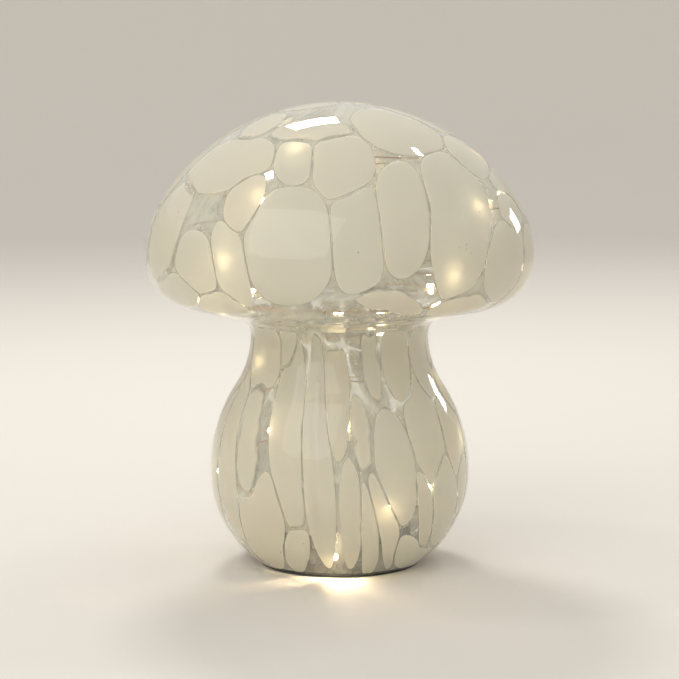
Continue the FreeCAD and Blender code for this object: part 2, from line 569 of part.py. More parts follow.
def make_housing():
    body = new_body("base_housing")
    revolve(body, [
        ("0", "base_z"),
        ("flange_radius", "base_z"),
        ("flange_radius", "base_z + flange_thickness"),
        ("barrel_radius", "base_z + flange_thickness"),
        ("barrel_radius", "rim_z"),
        ("barrel_inner", "rim_z"),
        ("barrel_inner", "floor_top_z"),
        ("0", "floor_top_z"),
    ])
    # battery bay: a block, then its hollow, cut from below
    block_x, block_y = "bay_half_width + bay_wall", "bay_half_length + bay_wall"
    extrude(body, "bay", "floor_top_z", "roof_top_z - floor_top_z",
            outlines=[box_corners(f"-({block_x})", block_x, f"-({block_y})", block_y)])
    # posts: cover screws, board screws and the door screw
    extrude(body, "cover_bosses", "floor_top_z", "rim_z - cover_skirt - seat_gap - floor_top_z",
            circles=[(x, y, "cover_boss_radius") for x, y in cover_boss_places()])
    extrude(body, "board_posts", "floor_top_z", "board_z - floor_top_z",
            circles=[(x, y, "post_radius") for x, y in board_screw_places()])
    extrude(body, "lock_boss", "floor_top_z",
            "tab_top_z + lock_shank_reach + hole_bottom_gap + lock_boss_top - floor_top_z",
            circles=[("0", "lock_y", "lock_boss_radius")])
    extrude(body, "bay_hollow", "base_z", "roof_z - base_z", cut=True,
            outlines=[box_corners("-bay_half_width", "bay_half_width", "-bay_half_length", "bay_half_length")])
    # what the door closes into
    recess_x = "door_half_width + door_gap"
    extrude(body, "door_recess", "base_z", "recess_top_z - base_z", cut=True,
            outlines=[box_corners(f"-({recess_x})", recess_x,
                                  "-door_half_length - door_swing_gap", "door_half_length + door_gap")])
    knuckle_x = "knuckle_half + knuckle_gap"
    extrude(body, "knuckle_recess", "base_z", "2 * knuckle_radius + knuckle_gap", cut=True,
            outlines=[box_corners(f"-({knuckle_x})", knuckle_x,
                                  "hinge_y - knuckle_radius - knuckle_gap", "-door_half_length")])
    tab_x = "lock_tab_half + door_gap"
    extrude(body, "tab_recess", "base_z", "tab_top_z + door_roof_gap - base_z", cut=True,
            outlines=[box_corners(f"-({tab_x})", tab_x, "door_half_length - door_gap",
                                  "lock_y + lock_tab_end + door_gap")])
    extrude(body, "lock_hole", "tab_top_z", "lock_shank_reach + hole_bottom_gap", cut=True,
            circles=[("0", "lock_y", "lock_shank_radius + lock_boss_play")])
    hinge_bar(body, "pin_holes", "knuckle_half + trunnion_length + knuckle_gap",
              "trunnion_radius + trunnion_play", cut=True)
    # screw holes
    cover_hole_z = "cover_top_z - cover_shank_length - hole_bottom_gap"
    extrude(body, "cover_screw_holes", cover_hole_z, f"rim_z - ({cover_hole_z})", cut=True,
            circles=[(x, y, "cover_shank_radius + thread_play") for x, y in cover_boss_places()])
    board_hole_z = "board_top_z - small_shank_length - hole_bottom_gap"
    extrude(body, "board_screw_holes", board_hole_z, f"board_z - ({board_hole_z})", cut=True,
            circles=[(x, y, "small_shank_radius + thread_play") for x, y in board_screw_places()])
    # switch: hollow for the knob, slot for the lever
    extrude(body, "knob_recess", "base_z", "knob_recess", cut=True, outlines=[box_corners(
        "board_mid_x - recess_half_width", "board_mid_x + recess_half_width",
        "-recess_half_length", "recess_half_length")])
    extrude(body, "lever_slot", "base_z", "floor_thickness", cut=True, outlines=[box_corners(
        "board_mid_x - slot_half_width", "board_mid_x + slot_half_width",
        "-slot_half_length", "slot_half_length")])
    # pockets for the pads, and slits in the bay's roof for the terminals' solder tabs
    extrude(body, "pad_pockets", "base_z", "pad_depth", cut=True,
            circles=[(x, y, "pad_radius + pad_play") for x, y in pad_places()])
    slit_x, slit_y = "(tab_width / 2 + door_gap)", "bay_half_length - 3 * contact_thickness"
    extrude(body, "tab_slits", "roof_z", "bay_roof", cut=True, outlines=[
        box_corners(f"{terminal_x(1)} - {slit_x}", f"{terminal_x(1)} + {slit_x}", slit_y, "bay_half_length"),
        box_corners(f"{terminal_x(-1)} - {slit_x}", f"{terminal_x(-1)} + {slit_x}",
                    "-bay_half_length", f"-({slit_y})")])
    return body


def make_cover():
    """White inner cover that closes the base, seen as the floor inside the glass."""
    body = new_body("inner_cover")
    revolve(body, [
        ("0", "rim_z"),
        ("barrel_inner - cover_play - cover_skirt_wall", "rim_z"),
        ("barrel_inner - cover_play - cover_skirt_wall", "rim_z - cover_skirt"),
        ("barrel_inner - cover_play", "rim_z - cover_skirt"),
        ("barrel_inner - cover_play", "rim_z"),
        ("barrel_radius", "rim_z"),
        ("barrel_radius", "cover_top_z"),
        ("0", "cover_top_z"),
    ])
    extrude(body, "screw_seats", "rim_z - cover_skirt", "cover_skirt",
            circles=[(x, y, "cover_boss_radius") for x, y in cover_boss_places()])
    extrude(body, "screw_holes", "rim_z - cover_skirt", "cover_skirt + cover_thickness", cut=True,
            circles=[(x, y, "cover_shank_radius + thread_play") for x, y in cover_boss_places()])
    extrude(body, "grommet_hole", "rim_z", "cover_thickness", cut=True,
            circles=[("grommet_x", "grommet_y", "grommet_radius")])
    return body


def make_grommet():
    """Rubber bush round the light string, lipped on both sides of the cover."""
    body = new_body("wire_grommet")
    bore, lip = "light_wire_radius + bead_play", "grommet_radius + grommet_lip"
    neck = "grommet_radius - seat_gap"
    revolve(body, [
        (bore, "-grommet_rise"),
        (lip, "-grommet_rise"),
        (lip, "-seat_gap"),
        (neck, "-seat_gap"),
        (neck, "cover_thickness + seat_gap"),
        (lip, "cover_thickness + seat_gap"),
        (f"{lip} - grommet_taper", "cover_thickness + grommet_rise"),
        (bore, "cover_thickness + grommet_rise"),
    ])
    place(body, "grommet_x", "grommet_y", "rim_z")
    return body


def make_door():
    """Battery door: plate, hinge barrel with two pins at one end, screw tab at the other, grip grooves."""
    body = new_body("battery_door")
    hinge_bar(body, "barrel", "knuckle_half", "knuckle_radius")
    hinge_bar(body, "pins", "knuckle_half + trunnion_length", "trunnion_radius")
    extrude(body, "plate", "base_z", "door_thickness",
            outlines=[box_corners("-door_half_width", "door_half_width", "-door_half_length", "door_half_length")])
    extrude(body, "tongue", "base_z", "door_thickness",
            outlines=[box_corners("-knuckle_half", "knuckle_half", "hinge_y", "-door_half_length")])
    extrude(body, "lock_tab", "base_z", "lock_tab_thickness", outlines=[box_corners(
        "-lock_tab_half", "lock_tab_half", "door_half_length", "lock_y + lock_tab_end")])
    extrude(body, "lock_hole", "base_z", "lock_tab_thickness", cut=True,
            circles=[("0", "lock_y", "lock_shank_radius + lock_play")])
    extrude(body, "lock_seat", "base_z", "lock_head_sunk + lock_head_height + seat_gap", cut=True,
            circles=[("0", "lock_y", "lock_head_radius + lock_play")])
    grooves = []
    for i in range(DOOR_GROOVES):
        edge = f"door_half_length - groove_inset - {i} * groove_pitch"
        grooves.append(box_corners("-door_half_width / 2", "door_half_width / 2", f"{edge} - groove_width", edge))
    extrude(body, "grip", "base_z", "groove_depth", cut=True, outlines=grooves)
    return body


# -------------------------------------------------------------------------------------------------- screws
def make_screw(label, head_radius, head_height, shank_radius, shank_length, head_up=True):
    """A pan-head screw with its seat at z = 0 and a slot across its head."""
    body = new_body(label)
    up = "" if head_up else "-"
    away = "-" if head_up else ""
    corners = [
        ("0", f"{away}({shank_length})"),
        (shank_radius, f"{away}({shank_length})"),
        (shank_radius, "0"),
        (head_radius, "0"),
        (head_radius, f"{up}{head_height} * {SCREW_SIDE_SHARE}"),
        (f"{head_radius} * {SCREW_TOP_SHARE}", f"{up}{head_height}"),
        ("0", f"{up}{head_height}"),
    ]
    revolve(body, corners)
    depth = f"{head_height} * {SLOT_DEPTH_SHARE}"
    half = f"{head_height} * {SLOT_HALF_SHARE}"
    start = f"{head_height} - {depth}" if head_up else f"-{head_height}"
    extrude(body, "slot", start, depth, cut=True, outlines=[box_corners(
        f"-{head_radius}", head_radius, f"-{half}", half)])
    return body


def screw_group(label, places, height, *sizes):
    """Identical screws in one sub-part: a pattern of one screw's shape at formula places."""
    pattern = make_screw(f"{label}_pattern", *sizes)
    copies = []
    for x, y in places:
        copy = doc.addObject("Part::Feature", f"{label}_one")
        copy.Shape = pattern.Shape
        place(copy, x, y, height)
        copies.append(copy)
    doc.recompute()
    group = doc.addObject("Part::Compound", label)
    group.Label = label
    group.Links = copies
    return group


# --------------------------------------------------------------------------------------- cells and contacts
def cell_direction(index):
    """1 where a cell's nub points to +Y, and -1 where it points to -Y; neighbours alternate."""
    return 1 if index % 2 == 0 else -1


def cell_x(index):
    """Cells are counted from the board's side."""
    return f"{(CELL_COUNT - 1) / 2 - index} * cell_pitch"


def make_cell(index):
    label = ("battery_right", "battery_middle", "battery_left")[index]
    body = new_body(label)
    can = "(cell_length - nub_height)"
    revolve(body, [
        ("0", "0"),
        ("cell_radius - cell_bevel", "0"),
        ("cell_radius", "cell_bevel"),
        ("cell_radius", f"{can} - cell_bevel"),
        ("cell_radius - cell_bevel", can),
        ("nub_radius", can),
        ("nub_radius", "cell_length"),
        ("0", "cell_length"),
    ])
    way = cell_direction(index)
    end = "(bay_half_length - contact_thickness - 2 * contact_gap - cell_length)"
    place(body, cell_x(index), f"{way} * {end}", "cell_z", turn=(Vector(1, 0, 0), -90 * way))
    return body


def contact_y(way):
    """Lower Y of a contact plate at the +Y (way 1) or -Y (way -1) end of the bay."""
    return ("bay_half_length - contact_gap - contact_thickness" if way > 0 else
            "-bay_half_length + contact_gap")


def make_bridge(label, first, second, way):
    """Plate that joins two neighbouring cells at one end of the bay."""
    right, left = cell_x(first), cell_x(second)
    side = "cell_radius - contact_side"
    return box(label, f"{left} - ({side})", contact_y(way), f"cell_z - ({side})",
               f"{right} - ({left}) + 2 * ({side})", "contact_thickness", f"2 * ({side})")


def make_terminal(label, index, way):
    """Plate at one cell's end, with a solder tab up through the bay's roof."""
    plate = box(f"{label}_plate", f"{cell_x(index)} - contact_width / 2", contact_y(way),
                "cell_z - cell_radius + contact_side", "contact_width", "contact_thickness",
                "2 * cell_radius - contact_side")
    tab = box(f"{label}_tab", f"{cell_x(index)} - tab_width / 2", contact_y(way), "cell_z",
              "tab_width", "contact_thickness", "roof_top_z + tab_rise - cell_z")
    fused = doc.addObject("Part::MultiFuse", label)
    fused.Label = label
    fused.Shapes = [plate, tab]
    return fused


def make_springs():
    """Conical contact springs behind the flat end of each cell, one unbroken wire each."""
    length = size("spring_length - 2 * contact_gap")
    wire = size("spring_wire_radius")
    wide, narrow = size("spring_wide"), size("spring_narrow")
    height = length - 2 * wire

    def line(turn):
        share = turn / SPRING_TURNS
        radius = wide + (narrow - wide) * share
        angle = 2 * math.pi * turn
        return Vector(radius * math.cos(angle), radius * math.sin(angle), wire + height * share)

    spring = tube_along(line, [i / 4 for i in range(4 * SPRING_TURNS + 1)], wire)
    springs = []
    for index in range(CELL_COUNT):
        way = cell_direction(index)
        copy = spring.copy()
        seat = -way * size("bay_half_length - contact_thickness - 2 * contact_gap")
        copy.Placement = Placement(Vector(size(cell_x(index)), seat, size("cell_z")),
                                   Rotation(Vector(1, 0, 0), -90 * way))
        springs.append(copy)
    return shaped("battery_springs", Part.makeCompound(springs))


# ------------------------------------------------------------------------------------------ curves and tubes
def biarc(start, start_way, end, end_way):
    """Two arcs that meet smoothly and leave start and reach end in the given directions."""
    across = end - start
    ways = start_way + end_way
    spread = 2 * (1 - start_way.dot(end_way))
    along = across.dot(ways)
    if spread < 1e-9:
        reach = across.dot(across) / (2 * along)
    else:
        reach = (-along + math.sqrt(along * along + spread * across.dot(across))) / spread
    first_corner = start + start_way * reach
    last_corner = end - end_way * reach
    joint = (first_corner + last_corner) * 0.5
    return [arc_edge(start, first_corner, joint), arc_edge(joint, last_corner, end)]


def arc_edge(start, corner, end):
    """The arc from start to end whose tangents meet at corner, or a line where it is straight."""
    middle = (start + end) * 0.5
    half = (end - start).Length / 2
    bulge = corner - middle
    if bulge.Length < 1e-6 * half:
        return Part.LineSegment(start, end).toShape()
    sagitta = half * math.tan(math.atan2(bulge.Length, half) / 2)
    return Part.Arc(start, middle + bulge.normalize() * sagitta, end).toShape()


def direction(line, at, step=1e-3):
    """Unit direction of a line of points."""
    way = line(at + step) - line(at - step)
    return way.normalize()


def smooth_path(points, ways):
    edges = []
    for i in range(len(points) - 1):
        edges += biarc(points[i], ways[i], points[i + 1], ways[i + 1])
    return Part.Wire(edges)


def sweep(path, radius):
    """A round tube along a path."""
    start = path.OrderedEdges[0]
    point = start.valueAt(start.FirstParameter)
    way = start.tangentAt(start.FirstParameter)
    ring = Part.Wire([Part.Circle(point, way, radius).toShape()])
    shell = Part.BRepOffsetAPI.MakePipeShell(path)
    shell.add(ring)
    shell.build()
    shell.makeSolid()
    tube = shell.shape()
    expected = math.pi * radius * radius * path.Length
    if abs(tube.Volume / expected - 1) > 0.02:
        raise ValueError(f"tube holds {tube.Volume:.1f} mm3, and its section times its length is {expected:.1f}")
    return tube


def tube_along(line, stations, radius):
    points = [line(at) for at in stations]
    ways = [direction(line, at) for at in stations]
    return sweep(smooth_path(points, ways), radius)


def line_edges(line):
    """A line of corners as edges, radius along x and height along y."""
    points = [Vector(size(c[0]), size(c[1]), 0) for c in line]
    edges = []
    for corner, start, end in zip(line, points, points[1:]):
        if len(corner) == 2:
            edges.append(Part.LineSegment(start, end).toShape())
        else:
            centre = Vector(size(corner[2][1]), size(corner[2][2]), 0)
            outward = ((start + end) * 0.5 - centre).normalize()
            edges.append(Part.Arc(start, centre + outward * (start - centre).Length, end).toShape())
    return edges


def light_line():
    """The string's line inside the glass as a function of its turns, and how many turns it has.

    It climbs the wall evenly: one pitch along the wall for each turn, clockwise seen from above.
    """
    depth = "glass_wall + light_gap + bead_radius"
    low = "foot_z + light_low_height"
    end = (f"lower_r + sqrt((bulb_lower_round - ({depth}))^2 - (bulb_z - ({low}))^2)", low)
    wall = Part.Wire(line_edges(turned_back(wall_line(depth, end))))
    pitch = size("light_pitch")
    turns = int(4 * (wall.Length - size("light_crown_reach")) / pitch) / 4

    def line(turn):
        spot = along(wall, max(turn, 0) * pitch)[0]
        angle = math.radians(FIRST_LOOP_ANGLE) - 2 * math.pi * turn
        return Vector(spot.x * math.cos(angle), spot.x * math.sin(angle), spot.y)

    return line, turns


def light_path():
    """Straight up from the board through the grommet, over the base's edge, then round the glass.

    Gives the path and the distance along it to the string's lowest loop.
    """
    exit_x, exit_y = size("grommet_x"), size("grommet_y")
    up = Vector(0, 0, 1)
    foot = Vector(exit_x, exit_y, size("board_top_z"))
    leaving = Vector(exit_x, exit_y, size("cover_top_z + 2 * grommet_rise"))
    over_angle = (math.atan2(exit_y, exit_x) + math.radians(FIRST_LOOP_ANGLE)) / 2
    over_radius = size("barrel_radius + light_edge_gap")
    over = Vector(over_radius * math.cos(over_angle), over_radius * math.sin(over_angle),
                  size("cover_top_z + light_edge_rise"))
    over_way = Vector(math.sin(over_angle), -math.cos(over_angle), -WIRE_FALL).normalize()
    line, turns = light_line()
    stations = [i / 4 for i in range(int(4 * turns) + 1)]
    ways = [direction(line, at) for at in [stations[1] / 100] + stations[1:]]
    start = Part.LineSegment(foot, leaving).toShape()
    lead = smooth_path([leaving, over, line(0)], [up, over_way, ways[0]])
    loops = smooth_path([line(at) for at in stations], ways)
    path = Part.Wire([start] + lead.OrderedEdges + loops.OrderedEdges)
    return path, start.Length + lead.Length


def along(path, distance):
    """Point and direction at a distance along a path."""
    left = distance
    for edge in path.OrderedEdges:
        if left <= edge.Length:
            at = edge.getParameterByLength(left)
            point, way = edge.valueAt(at), edge.tangentAt(at)
            return point, way
        left -= edge.Length
    raise ValueError("the string ends before that light")


def least_self_gap(path, radius, step=4.0, near=30.0):
    """Least clear gap between stretches of a tube that aren't neighbours, from points along its line."""
    points = path.discretize(Distance=step)
    apart = int(near / step)
    gap = min((point - other).Length for i, point in enumerate(points) for other in points[i + apart:])
    return gap - 2 * radius


def bead_shape():
    """A clear drop: a round-ended bar along X with a bore for the wire and a pocket for the chip."""
    half, radius = size("bead_length") / 2, size("bead_radius")
    bore = size("light_wire_radius + bead_play")
    shoulder = half - radius
    mouth = shoulder + math.sqrt(radius * radius - bore * bore)
    bulge, rise = shoulder + radius * math.sqrt(0.5), radius * math.sqrt(0.5)
    edges = [
        Part.Arc(Vector(-mouth, bore, 0), Vector(-bulge, rise, 0), Vector(-shoulder, radius, 0)).toShape(),
        Part.LineSegment(Vector(-shoulder, radius, 0), Vector(shoulder, radius, 0)).toShape(),
        Part.Arc(Vector(shoulder, radius, 0), Vector(bulge, rise, 0), Vector(mouth, bore, 0)).toShape(),
        Part.LineSegment(Vector(mouth, bore, 0), Vector(-mouth, bore, 0)).toShape(),
    ]
    drop = Part.Face(Part.Wire(edges)).revolve(Vector(0, 0, 0), Vector(1, 0, 0), 360)
    gap = size("led_gap")
    pocket = led_shape().BoundBox
    chip_room = Part.makeBox(pocket.XLength + 2 * gap, pocket.YLength + 2 * gap, pocket.ZMax + gap,
                             Vector(pocket.XMin - gap, pocket.YMin - gap, 0))
    return drop.cut(chip_room)


def led_shape():
    """A chip on the wire's outer side."""
    length, width, height = size("led_length"), size("led_width"), size("led_height")
    seat = size("light_wire_radius + led_gap")
    return Part.makeBox(length, width, height, Vector(-length / 2, -width / 2, seat))


def make_lights():
    """The wire, its clear drops and their chips."""
    path, low = light_path()
    radius = size("light_wire_radius")
    wire = sweep(path, radius)
    print(f"light wire {path.Length:.0f} mm long, least gap to itself {least_self_gap(path, radius):.1f} mm")
    spacing = size("light_spacing")
    first = low % spacing  # so that one light lies at the front, where the lowest loop starts
    count = int((path.Length - first - size("bead_length")) / spacing) + 1
    drop, chip = bead_shape(), led_shape()
    drops, chips = [], []
    for i in range(count):
        point, way = along(path, first + i * spacing)
        outward = Vector(point.x, point.y, 0).normalize()
        outward = (outward - way * outward.dot(way)).normalize()
        side = outward.cross(way)
        turn = Rotation(way, side, outward, "XZY")
        seat = Placement(point, turn)
        for shape, copies in ((drop, drops), (chip, chips)):
            copy = shape.copy()
            copy.Placement = seat
            copies.append(copy)
    print(f"{count} lights")
    return [shaped("light_wire", wire), shaped("light_drops", Part.makeCompound(drops)),
            shaped("light_chips", Part.makeCompound(chips))]


# ---------------------------------------------------------------------------------------- board and switch
def make_board():
    body = new_body("timer_board")
    extrude(body, "plate", "board_z", "board_thickness", outlines=[box_corners(
        "board_x", "board_x + board_width", "-board_length / 2", "board_length / 2")])
    extrude(body, "screw_holes", "board_z", "board_thickness", cut=True,
            circles=[(x, y, "small_shank_radius + thread_play") for x, y in board_screw_places()])
    return body


def make_switch_case():
    body = new_body("switch_case")
    half_x, half_y = "switch_case_width / 2", "switch_case_length / 2"
    extrude(body, "shell", "floor_top_z + seat_gap", "switch_case_height", outlines=[box_corners(
        f"board_mid_x - {half_x}", f"board_mid_x + {half_x}", f"-{half_y}", half_y)])
    extrude(body, "hollow", "floor_top_z + seat_gap", "lever_sunk + 2 * seat_gap", cut=True,
            outlines=[box_corners("board_mid_x - slot_half_width", "board_mid_x + slot_half_width",
                                  "-slot_half_length", "slot_half_length")])
    return body


def make_switch_lever():
    """Square lever from inside the case down into the knob."""
    low = "knob_z + knob_thickness - knob_socket"
    return box("switch_lever", "board_mid_x - lever_side / 2", "switch_y - lever_side / 2", low,
               "lever_side", "lever_side", f"floor_top_z + lever_sunk - ({low})")


def make_switch_knob():
    body = new_body("switch_knob")
    half_x, half_y = "knob_width / 2", "knob_length / 2"
    extrude(body, "plate", "knob_z", "knob_thickness", outlines=[box_corners(
        f"board_mid_x - {half_x}", f"board_mid_x + {half_x}", f"switch_y - {half_y}", f"switch_y + {half_y}")])
    depth, reach = "knob_socket + seat_gap", "(lever_side / 2 + seat_gap)"
    extrude(body, "socket", f"knob_z + knob_thickness - ({depth})", depth, cut=True,
            outlines=[box_corners(f"board_mid_x - {reach}", f"board_mid_x + {reach}",
                                  f"switch_y - {reach}", f"switch_y + {reach}")])
    grooves = []
    for i in range(KNOB_GROOVES):
        middle = f"switch_y + {i - (KNOB_GROOVES - 1) / 2} * knob_groove_pitch"
        grooves.append(box_corners(f"board_mid_x - {half_x}", f"board_mid_x + {half_x}",
                                   f"{middle} - knob_groove_width / 2", f"{middle} + knob_groove_width / 2"))
    extrude(body, "grip", "knob_z", "knob_groove_depth", cut=True, outlines=grooves)
    return body


def make_electronics():
    top = "board_top_z"
    edge_x = "board_x + board_margin"
    chip = box("timer_chip", edge_x, "-chip_length / 2 - board_margin", top,
               "chip_width", "chip_length", "chip_height")
    crystal = doc.addObject("Part::Cylinder", "timer_crystal")
    crystal.Label = "timer_crystal"
    crystal.setExpression("Radius", bound("crystal_radius"))
    crystal.setExpression("Height", bound("crystal_length"))
    place(crystal, f"{edge_x} + chip_width + board_margin + crystal_radius", "crystal_length / 2 - board_margin",
          f"{top} + crystal_radius + seat_gap", turn=(Vector(1, 0, 0), 90))
    resistors = []
    for i in range(RESISTOR_COUNT):
        resistors.append(box(f"resistor_{i + 1}", f"{edge_x} + {i} * (resistor_width + board_margin)",
                             "chip_length / 2", top, "resistor_width", "resistor_length", "resistor_height"))
    pair = doc.addObject("Part::Compound", "board_resistors")
    pair.Label = "board_resistors"
    pair.Links = resistors
    return [chip, crystal, pair]


def make_lead(label, points):
    """A battery lead through a few points, rising from the first and coming down on the last."""
    ways = [Vector(0, 0, 1)]
    for before, after in zip(points, points[2:]):
        ways.append(Vector(after.x - before.x, after.y - before.y, 0).normalize())
    ways.append(Vector(0, 0, -1))
    return shaped(label, sweep(smooth_path(points, ways), size("lead_radius")))


def make_leads():
    """Red lead from the positive terminal and black from the negative one, both down to the board."""
    tab_y = size("bay_half_length - contact_gap - contact_thickness - lead_radius - lead_gap")
    start_z, over_z = size("roof_top_z + lead_gap"), size("roof_top_z + lead_rise")
    land_z = size("board_top_z + seat_gap")
    pitch, bay_x, edge_x = size("cell_pitch"), size("bay_half_width + bay_wall"), size("board_x")
    bend = size("lead_bend")
    red_y, black_y = size("chip_length / 2 + red_lead_side"), size("-(chip_length / 2 + black_lead_side)")
    red = [Vector(pitch, tab_y, start_z),
           Vector(bay_x - bend, (tab_y + red_y) / 2 + bend, over_z),
           Vector(edge_x + size("red_lead_in"), red_y, land_z)]
    black = [Vector(-pitch, -tab_y, start_z),
             Vector(-pitch / 2, -(2 * tab_y + pitch / 2) / 3, over_z),
             Vector(pitch, black_y - bend, over_z),
             Vector(bay_x - size("black_lead_crest"), black_y, over_z),
             Vector(edge_x + size("black_lead_in"), black_y, land_z)]
    return [make_lead("red_lead", red), make_lead("black_lead", black)]


# ------------------------------------------------------------------------------------------------- assembly
def make_pads():
    pads = []
    for i, (x, y) in enumerate(pad_places(), start=1):
        pad = doc.addObject("Part::Cylinder", f"rubber_pad_{i}")
        pad.Label = f"rubber_pad_{i}"
        pad.setExpression("Radius", bound("pad_radius"))
        pad.setExpression("Height", bound("pad_proud + pad_depth"))
        place(pad, x, y, "0")
        pads.append(pad)
    return pads


def make_door_screw():
    screw = make_screw("door_screw", "lock_head_radius", "lock_head_height", "lock_shank_radius",
                       "lock_tab_thickness - lock_head_sunk - lock_head_height + lock_shank_reach", head_up=False)
    place(screw, "0", "lock_y", "base_z + lock_head_sunk + lock_head_height")
    return screw


def build():
    """Every sub-part, in the order that it is put together."""
    parts = [make_glass(), make_gasket(), make_housing(), make_cover(), make_grommet()]
    parts += make_pads()
    parts += [make_door(), make_door_screw()]
    parts += [make_cell(i) for i in range(CELL_COUNT)]
    parts += [
        make_terminal("plus_terminal", 0, 1),
        make_bridge("contact_bridge_back", 1, 2, 1),
        make_bridge("contact_bridge_front", 0, 1, -1),
        make_terminal("minus_terminal", 2, -1),
        make_springs(),
        make_board(),
        make_switch_case(),
        make_switch_lever(),
        make_switch_knob(),
    ]
    parts += make_electronics()
    parts.append(screw_group("board_screws", board_screw_places(), "board_top_z + seat_gap", "small_head_radius",
                             "small_head_height", "small_shank_radius", "small_shank_length"))
    parts.append(screw_group("cover_screws", cover_boss_places(), "cover_top_z + seat_gap", "cover_head_radius",
                             "cover_head_height", "cover_shank_radius", "cover_shank_length"))
    parts += make_leads()
    parts += make_lights()
    return parts


def export(parts):
    doc.recompute()
    for obj in doc.Objects:
        if "Invalid" in obj.State or "Error" in obj.State:
            raise ValueError(f"{obj.Label} failed: {obj.State}")
    os.makedirs("parts", exist_ok=True)
    for part in parts:
        shape = part.Shape
        if shape.isNull() or not shape.isValid() or not shape.Solids:
            raise ValueError(f"{part.Label} has no valid shape")
        shape.exportStep(f"parts/{part.Label}.step")
    print(f"{len(parts)} sub-parts")


export(build())
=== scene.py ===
"""Mushroom table lamp of blown glass with opal patches, lit from inside by a coil of tiny lights.

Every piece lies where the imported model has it, in metres, with +Z up and the front of the lamp facing -Y.
"""
import math
import random

import bmesh
import bpy
import numpy as np
from bpy.props import FloatProperty, FloatVectorProperty, IntProperty, PointerProperty
from mathutils import Matrix, Vector
from mathutils.bvhtree import BVHTree


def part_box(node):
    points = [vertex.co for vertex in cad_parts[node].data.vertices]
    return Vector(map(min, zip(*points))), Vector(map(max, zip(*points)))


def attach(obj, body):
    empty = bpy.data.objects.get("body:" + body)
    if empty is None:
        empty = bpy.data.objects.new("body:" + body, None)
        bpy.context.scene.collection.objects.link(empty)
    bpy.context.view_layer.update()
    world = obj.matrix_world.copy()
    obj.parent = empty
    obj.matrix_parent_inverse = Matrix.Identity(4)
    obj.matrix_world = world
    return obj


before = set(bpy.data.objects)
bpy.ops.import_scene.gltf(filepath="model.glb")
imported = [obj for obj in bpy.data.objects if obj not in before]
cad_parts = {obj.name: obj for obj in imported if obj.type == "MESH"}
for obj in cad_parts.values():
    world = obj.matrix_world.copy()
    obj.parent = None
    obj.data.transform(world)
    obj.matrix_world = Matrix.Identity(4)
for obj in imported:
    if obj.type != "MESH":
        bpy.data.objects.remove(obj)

bl_info = {
    "name": "Mushroom Lamp",
    "version": (1, 0, 0),
    "blender": (4, 5, 0),
    "location": "View3D > Sidebar > Mushroom Lamp",
    "description": "Dresses a blown-glass mushroom lamp on a battery base",
    "category": "Add Mesh",
}

GLASS_LOW, GLASS_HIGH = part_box("glass_body")

# The photograph's frame: its side in pixels, and where the camera stood.
PHOTO_SIDE = 679
CAMERA_PLACE = Vector((0.0, -1.0, 0.2415))
CAMERA_DOWN = math.radians(7.8)
CAMERA_PIXELS = 2166.0  # focal length
SENSOR_WIDTH = 36.0

# Opal patches on the side that the photograph shows: pixels across and down, half width, half height, and
# degrees that the top leans to the right.
CAP_EGGS = {
    "brow": (342, 169, 30, 34, 0),
    "brow_left": (293, 164, 19, 22, 12),
    "crown_left": (313, 130, 42, 13, -4),
    "crown_right": (401, 129, 41, 20, 10),
    "crown_left_slip": (262, 126, 24, 8, -28),
    "temple_left": (229, 164, 51, 24, -31),
    "cheek_left": (241, 204, 16, 32, 24),
    "ear_left": (160, 243, 13, 50, 10),
    "lobe_left": (195, 270, 18, 38, -14),
    "glow_left": (231, 274, 16, 38, -18),
    "jaw_left": (170, 293, 18, 13, 30),
    "rim_left": (217, 306, 26, 9, 12),
    "face_left": (287, 255, 45, 66, 5),
    "face_middle": (358, 249, 27, 58, -4),
    "face_right": (406, 224, 28, 66, -3),
    "cheek_right": (462, 228, 31, 69, -3),
    "temple_right": (474, 152, 36, 9, 38),
    "chin_middle": (388, 304, 40, 11, 0),
    "chin_right": (462, 307, 28, 8, -8),
    "rim_right": (511, 268, 19, 36, 12),
    "ear_right": (514, 212, 9, 26, -20),
}
STEM_STREAKS = {
    "edge_left": (225, 462, 9, 82, 2),
    "outer_left": (246, 436, 11, 90, 6),
    "neck_left": (263, 362, 14, 44, 10),
    "neck_front": (289, 345, 9, 34, 2),
    "long_left": (285, 441, 17, 98, 0),
    "long_middle": (317, 476, 16, 102, -4),
    "egg": (336, 401, 14, 57, -2),
    "slip": (361, 440, 12, 46, -6),
    "top_middle": (335, 330, 16, 14, 0),
    "top_slip": (371, 356, 10, 44, -4),
    "top_right": (398, 362, 14, 54, -12),
    "pod": (399, 478, 20, 63, -5),
    "shoulder": (427, 430, 16, 55, -13),
    "neck_right": (426, 366, 11, 48, -16),
    "edge_right": (456, 434, 9, 62, -12),
    "side_right": (464, 484, 5, 48, 3),
    "foot_right": (447, 508, 11, 46, 8),
    "foot_right_slip": (427, 520, 7, 44, 4),
    "foot_right_low": (409, 558, 17, 15, 0),
    "foot_middle": (390, 537, 11, 50, -6),
    "foot_slip": (371, 551, 9, 38, 0),
    "foot_pod": (352, 530, 11, 54, 0),
    "foot_left": (296, 557, 12, 26, -12),
    "foot_outer": (262, 537, 20, 44, -16),
}
